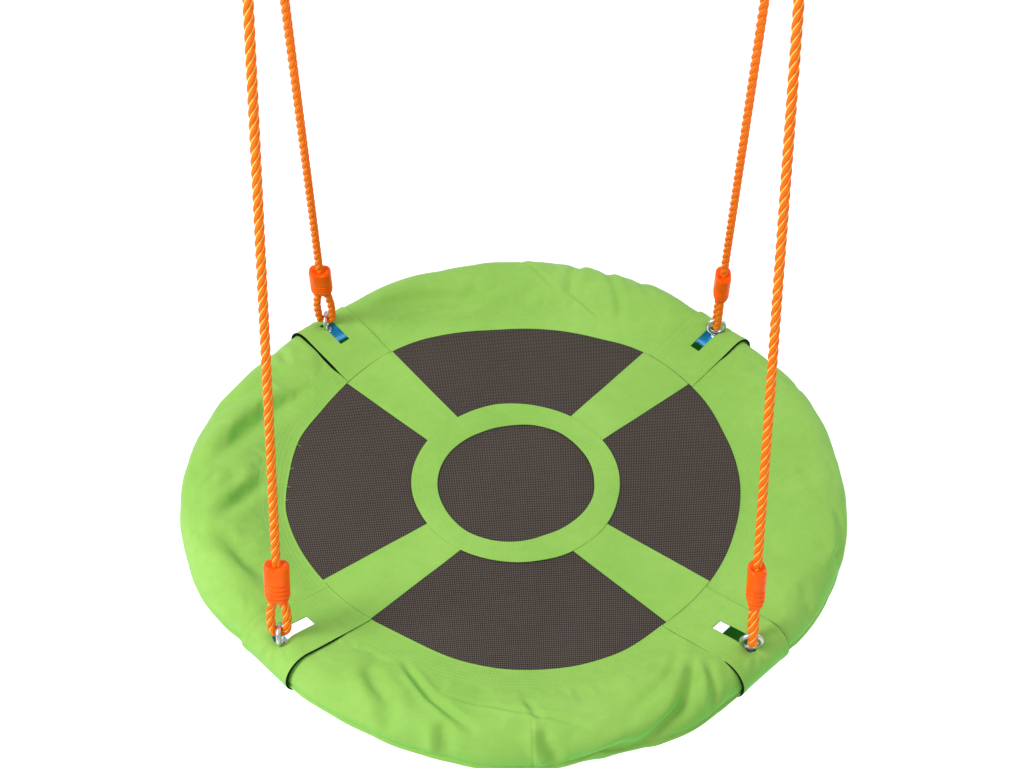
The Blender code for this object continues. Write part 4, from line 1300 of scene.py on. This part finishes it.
def patch_surface(angle, slot_inner):
    """Points, normals and distances of a corner patch in its own frame, +X out along the corner."""
    y = patch_lines()
    seam_r = np.sqrt((MESH_R + 0.0004) ** 2 - y ** 2)
    r, z, turn, distance = section(seam_r, np.full(len(y), PATCH_R), patch_stations(slot_inner))
    y = np.broadcast_to(y[:, None], r.shape)
    bolt = float(np.interp(-math.pi / 2, -turn[0], distance[0]))
    out = distance - bolt - DIP_OUTWARD
    from_bolt = np.hypot(out, y)
    height = -DIP_DEPTH * bell(from_bolt / DIP_REACH)
    fan = np.arctan2(np.abs(y), out)
    creases = np.cos(fan * 9.0) * bell((from_bolt - 0.026) / 0.010) * smooth_step(out / 0.01)
    height = height - 0.0008 * creases
    stitched = smooth_step((0.046 - distance) / 0.008)
    place = polar_points(np.hypot(r, y), z, np.arctan2(y, r) + angle)
    pucker = 0.00018 * np.sin(y / 0.0052 * 2 * math.pi + 2.0 * soft_noise(place, 40.0, 5))
    height = height + stitched * (row_grooves(distance, STITCH_ROWS, ROW_DEPTH) + pucker)
    height = height + 0.0014 * smooth_step((distance - 0.02) / 0.05) * soft_noise(place, 14.0, 6)
    hem = PATCH_HALF - HEM_INSET
    height = height + 0.0006 * smooth_step((np.abs(y) - hem) / 0.0012)
    height = height - 0.0005 * bell((np.abs(y) - hem - 0.0022) / 0.0008) + PATCH_LIFT
    # the slot's edge gives way round the ring
    ring = bell((r - FRAME_R) / 0.009) * bell((np.abs(y) - SLOT_HALF) / 0.005)
    y = y + np.sign(y) * SLOT_GIVE * ring * (turn > 0) * (np.abs(y) > SLOT_HALF - 0.0001)
    at_end = (np.abs(y) <= SLOT_HALF + 0.0001) & (r > SLOT_OUTER_R - 0.0002) & (turn > 0)
    end = at_end * bell((r - SLOT_OUTER_R) / 0.005)
    r = r + SLOT_ROUND * end * (1 - (y / SLOT_HALF) ** 2)
    stray = seam_stray(angle + np.arctan2(y, r)) * bell(distance / 0.045)
    x = r + stray * (np.abs(turn) > math.pi / 2) + height * np.cos(turn)
    z = z + height * np.sin(turn)
    points = np.stack([*from_corner(x, y, angle), z + SEAT_Z], axis=-1)
    points[..., 2] += SEAM_LIFT * np.exp(-distance / 0.005)
    points[:, -1, 2] -= 0.0010
    return points, cloth_normals(turn, angle), distance, r, y, turn


def make_patches(looks):
    for word, place, side, end in CORNERS:
        angle = math.atan2(end, side)
        slot_inner = SLOT_INNER_R[side, end]
        points, normals, distance, r, y, turn = patch_surface(angle, slot_inner)
        faces = grid_faces(*points.shape[:2])
        centre_x = face_means(r, faces)
        centre_y = face_means(y, faces)
        facing = face_means(turn, faces)
        in_slot = ((centre_x > slot_inner) & (centre_x < SLOT_OUTER_R + 0.004)
                   & (np.abs(centre_y) < SLOT_HALF) & (facing > 0))
        slot_end = face_means(np.where(turn > 0, distance, 1.0), faces)
        in_slot &= slot_end < slot_limit(distance, r, turn)
        beneath = ((centre_x > UNDER_INNER_R) & (centre_x < UNDER_OUTER_R[side, end])
                   & (np.abs(centre_y) < UNDER_HALF) & (facing < UNDERSIDE_TURN))
        kept = [face for face, gone in zip(faces, in_slot | beneath) if not gone]
        uv = np.stack([y, distance], axis=-1)
        cloth_piece(f"{word}_{place}_patch_strip", f"{word}_{place}_corner_patch",
                    [looks["cloth"], looks["inside_shade"]], points, PATCH_THICKNESS, uv, kept)
        PATCH_SURFACE[f"{word}_{place}"] = (points, normals, distance)


def slot_limit(distance, r, turn):
    """Distance along the cloth at the slot's outer end."""
    middle = r.shape[0] // 2
    on_top = turn[0] > 0
    order = np.argsort(r[0][on_top])
    return float(np.interp(SLOT_OUTER_R, r[0][on_top][order], distance[middle][on_top][order])) + 0.0003


def face_means(values, faces):
    flat = values.reshape(-1)
    return flat[np.array(faces)].mean(axis=1)


# Mesh, spokes and centre band

MESH_EDGE_R = MESH_R + 0.004     # the mesh's edge is sewn in under the border
MESH_THICKNESS = 0.0016
BAND_THICKNESS = 0.0022
BAND_LIFT = 0.0024
BAND_COLUMNS = 60
BAND_ROWS = tuple(BAND_INNER_R + 0.0028 + 0.0046 * i for i in range(9))
BAND_SEAM_ANGLE = 11.0
SPOKE_THICK = 0.0011
SPOKE_TUCK = 0.006
# by side and end: how far a spoke's two edges stray sideways at the band, then at the patch
SPOKE_STRAY = {
    (1, 1): ((0.0060, 0.0050), (0.0075, 0.0120)),
    (-1, 1): ((0.0110, 0.0070), (-0.0020, 0.0035)),
    (-1, -1): ((0.0050, 0.0050), (-0.0050, -0.0015)),
    (1, -1): ((-0.0045, -0.0025), (0.0085, 0.0110)),
}


def over_mesh(flat, lift):
    """Points at a height above the mesh's upper face."""
    level = mesh_level(flat[..., 0], flat[..., 1])
    return flat + np.array([0, 0, 1.0]) * (level + lift + SEAT_Z)[..., None]


def make_mesh(looks):
    angles = full_turn(240)[:, None]
    radii = np.linspace(0.0004, MESH_EDGE_R, 120)[None, :] * (1 + seam_stray(angles) / MESH_EDGE_R)
    x, y = radii * np.cos(angles), radii * np.sin(angles)
    points = np.stack([x, y, mesh_level(x, y) + SEAT_Z], axis=-1)
    made = cloth_piece("woven_mesh", "mesh_panel", [looks["mesh"]], points, MESH_THICKNESS,
                       closed=True)


def make_spokes(looks):
    """Four strips over the mesh from the centre band to the corners."""
    for word, place, side, end in CORNERS:
        angle = math.atan2(end, side)
        share = np.linspace(-1, 1, 65)[:, None]
        run = np.linspace(0, 1, 110)[None, :]
        half = SPOKE_HALF + (PATCH_HALF - SPOKE_HALF) * run
        start_y, stop_y = (
            share * width + low * (1 - share) / 2 + high * (1 + share) / 2
            for width, (low, high) in zip((SPOKE_HALF, PATCH_HALF), SPOKE_STRAY[side, end])
        )
        y = start_y + (stop_y - start_y) * run
        start_r = BAND_OUTER_R - SPOKE_TUCK + stray_at(angle + start_y / BAND_OUTER_R, BAND_STRAY, 2)
        stop_r = MESH_R + seam_stray(angle + stop_y / MESH_R)
        start = np.sqrt(start_r ** 2 - start_y ** 2)
        stop = np.sqrt(stop_r ** 2 - stop_y ** 2) - GAP
        x = start + (stop - start) * run
        place_x, place_y = from_corner(x, y, angle)
        flat = np.stack([place_x, place_y, np.zeros_like(place_x)], axis=-1)
        inset = (1 - np.abs(share)) * half
        lift = SPOKE_THICK + 0.0010 * soft_noise(flat, 22.0, 7) * smooth_step(inset / 0.01)
        lift = lift - 0.0004 * bell((inset - 0.0035) / 0.0008)
        ripple = 0.00018 * np.sin(x / 0.0060 * 2 * math.pi) * bell((inset - 0.004) / 0.004)
        # the end under the centre band lies flatter
        lift = np.where(run < 0.02, SPOKE_THICK * 0.6, lift + ripple)
        points = over_mesh(flat, lift)
        made = cloth_piece(f"{word}_{place}_spoke_strip", f"{word}_{place}_spoke_band",
                           [looks["cloth"]], points, SPOKE_THICK, np.stack([x, y], axis=-1))
        SPOKE_SURFACE[f"{word}_{place}"] = points


def make_band(looks):
    angles = full_turn(360)[:, None]
    radii = np.linspace(BAND_INNER_R, BAND_OUTER_R, BAND_COLUMNS)[None, :]
    share = (radii - BAND_INNER_R) / (BAND_OUTER_R - BAND_INNER_R)
    inner, outer = stray_at(angles, BAND_STRAY, 1), stray_at(angles, BAND_STRAY, 2)
    r = radii + inner + (outer - inner) * share
    x, y = r * np.cos(angles), r * np.sin(angles)
    flat = np.stack([x, y, np.zeros_like(x)], axis=-1)
    grooves = row_grooves(radii, BAND_ROWS, BAND_ROW_DEPTH)
    pucker = 0.00016 * np.sin(angles * BAND_INNER_R / 0.0046 * 2 * math.pi + 2 * soft_noise(flat, 40.0, 8))
    seam = (angles - math.radians(BAND_SEAM_ANGLE)) * radii
    joint = -0.0014 * bell(seam / 0.0012)
    edge = np.minimum(radii - BAND_INNER_R, BAND_OUTER_R - radii)
    lift = BAND_LIFT + grooves + pucker + joint - 0.0008 * np.exp(-(edge / 0.0006))
    lift = lift + 0.0005 * soft_noise(flat, 30.0, 9)
    points = over_mesh(flat, lift)
    uv = np.stack([np.broadcast_to(angles * 0.14, x.shape), np.broadcast_to(radii, x.shape)], axis=-1)
    made = cloth_piece("centre_ring_band", "centre_band", [looks["cloth"]], points,
                       BAND_THICKNESS, uv, closed=True)
    return points


# Stitches, painted slit shade and thread ends

STITCH_PITCH = 0.0033
STITCH_LENGTH = 0.0025
STITCH_R = 0.00028
STITCH_SIDES = 6
# along a stitch: share of its length, lift off the cloth, share of its thickness
STITCH_RINGS = ((0.0, -0.0001, 0.35), (0.22, 0.00014, 1.0), (0.78, 0.00014, 1.0), (1.0, -0.0001, 0.35))
# thread ends left at the mesh's seam: angle in degrees, reach over the mesh, height, lean
LOOSE_THREADS = ((169.5, 0.0075, 0.0030, 0.0030), (178.0, 0.0060, 0.0022, -0.0024),
                 (184.0, 0.0055, 0.0026, 0.0020), (188.5, 0.0040, 0.0020, -0.0012))
# each slit's corner, the edge of its patch, where it opens and closes along the cloth, its width
SLITS = (
    ("left_rear", 1, 0.012, 0.200, 0.0046),
    ("right_rear", -1, 0.060, 0.200, 0.0024),
    ("left_front", 1, 0.030, 0.235, 0.0019),
    ("right_front", -1, 0.060, 0.240, 0.0021),
    ("right_front", 1, 0.095, 0.200, 0.0016),
)


def stitch_row(shape, line, normals, closed=False):
    """A row of short stitches lying on a line of points on the cloth."""
    if closed:
        line, normals = np.vstack([line, line[:1]]), np.vstack([normals, normals[:1]])
    along = distances(line)
    starts = np.arange(0.3 * STITCH_PITCH, along[-1] - STITCH_LENGTH, STITCH_PITCH)
    if len(starts) < 2:
        return

    def at(values, where):
        return np.stack([np.interp(where, along, values[:, k]) for k in range(3)], axis=1)

    direction = at(line, starts + STITCH_LENGTH) - at(line, starts)
    direction /= np.linalg.norm(direction, axis=1)[:, None]
    up = at(normals, starts)
    side = np.cross(direction, up)
    side /= np.linalg.norm(side, axis=1)[:, None]
    angles = full_turn(STITCH_SIDES)
    spread = (np.cos(angles)[None, :, None] * side[:, None, :]
              + np.sin(angles)[None, :, None] * up[:, None, :])
    rings = []
    for share, lift, thick in STITCH_RINGS:
        centre = at(line, starts + share * STITCH_LENGTH) + up * lift
        rings.append(centre[:, None, :] + STITCH_R * thick * spread)
    rings = np.stack(rings, axis=1)
    verts = rings.reshape(-1, 3)
    faces = []
    last_ring = (len(STITCH_RINGS) - 1) * STITCH_SIDES
    for i in range(len(starts)):
        base = i * len(STITCH_RINGS) * STITCH_SIDES
        faces += grid_faces(len(STITCH_RINGS), STITCH_SIDES, wrap_columns=True, start=base)
        faces.append(tuple(base + j for j in range(STITCH_SIDES)))
        faces.append(tuple(base + last_ring + j for j in reversed(range(STITCH_SIDES))))
    shape.add(verts, faces)


def make_stitches(looks, band_points):
    shape = Shape()
    for points, normals in BORDER_SURFACE.values():
        for row in STITCH_ROWS:
            column = int(round(row / 0.001))
            stitch_row(shape, points[:, column], normals[:, column])
    for points, normals, distance in PATCH_SURFACE.values():
        for row in STITCH_ROWS:
            column = int(np.argmin(np.abs(distance[0] - row)))
            stitch_row(shape, points[:, column], normals[:, column])
        y = patch_lines()
        top = distance[0] < 0.26
        for inset in (-1, 1):
            line = int(np.argmin(np.abs(y - inset * (PATCH_HALF - HEM_INSET + 0.0022))))
            stitch_row(shape, points[line][top], normals[line][top])
    loose_threads(shape)
    finish_stitches(shape, "border_stitches", looks)
    shape = Shape()
    upright = np.array([0.0, 0.0, 1.0])
    for points in SPOKE_SURFACE.values():
        for line in (3, points.shape[0] - 4):
            row = points[line][4:]
            stitch_row(shape, row, np.broadcast_to(upright, row.shape))
    radii = np.linspace(BAND_INNER_R, BAND_OUTER_R, BAND_COLUMNS)
    for row in BAND_ROWS:
        column = int(np.argmin(np.abs(radii - row)))
        line = band_points[:, column]
        stitch_row(shape, line, np.broadcast_to(upright, line.shape), closed=True)
    finish_stitches(shape, "seat_stitches", looks)


def loose_threads(shape):
    """A few cut thread ends standing off the seam on the left."""
    for degrees, reach, rise, lean in LOOSE_THREADS:
        angle = math.radians(degrees)
        share = np.linspace(0, 1, 9)
        r = MESH_R + seam_stray(angle) + 0.002 - (reach + 0.002) * share
        aside = lean * share ** 2 / MESH_R
        lift = SEAM_LIFT + 0.0006 + rise * np.sin(share * 2.4)
        path = polar_points(r, lift, angle + aside)
        shape.tube(path, STITCH_R * 0.9, 6)


def finish_stitches(shape, name, looks):
    made = shape.piece(name, [looks["thread"]], 60)
    settle(made, "seat")


def make_slit_shade_strips(looks):
    """Painted shade: near-black strips down in the gaps along the edges of the patches that aren't sewn
    down.
    """
    shape = Shape()
    for corner, edge, start, stop, width in SLITS:
        points, normals, distance = PATCH_SURFACE[corner]
        line = points.shape[0] - 1 if edge > 0 else 0
        inner = points.shape[0] - 4 if edge > 0 else 3
        inside = (distance[line] > start) & (distance[line] < stop)
        path = points[line][inside]
        outward = path - points[inner][inside]
        outward /= np.linalg.norm(outward, axis=1)[:, None]
        share = np.linspace(0, 1, len(path))
        swell = smooth_step(share / 0.2) * smooth_step((1 - share) / 0.06)
        # painted shade: the strip sits down in the gap and stands for the shade inside the slit
        path = path + outward * (0.35 * width * swell)[:, None] - normals[line][inside] * 0.0014
        shape.tube(path, np.maximum(width * 0.5 * swell, 0.0003), 12)
    made = shape.piece("slit_painted_shade_strips", [looks["gap_shade"]], 60)
    settle(made, "seat")


def make_looks():
    return {
        # each cloth's last number is its painted glow, which is painted light
        "cloth": cover_cloth("green_cloth", COVER_SHADES, 0.20, 0.020),
        # the inside's dark tones are painted shade, and its glow is painted light
        "inside_shade": cover_cloth("dark_inside_painted_shade", INSIDE_PAINTED_SHADE_TONES, 0.0, 0.050),
        "mesh": seat_mesh(),
        "rope": [rope_strand(), highlight_yarn()],
        "clamp": moulded_plastic(),
        "zinc": zinc_plate(),
        "insert": zinc_plate("nut_insert", 0.3),
        "paint": blue_paint(),
        "foam": foam_skin(),
        "gap_shade": slit_shade_material(),
        "thread": sewing_thread(),
    }


def main():
    make_camera()
    make_studio()
    looks = make_looks()
    make_ropes(looks)
    make_border(looks)
    make_patches(looks)
    make_mesh(looks)
    make_spokes(looks)
    band_points = make_band(looks)
    make_stitches(looks, band_points)
    make_slit_shade_strips(looks)
    make_tubes(looks)
    make_eyebolts(looks)
    make_hooks(looks)


main()
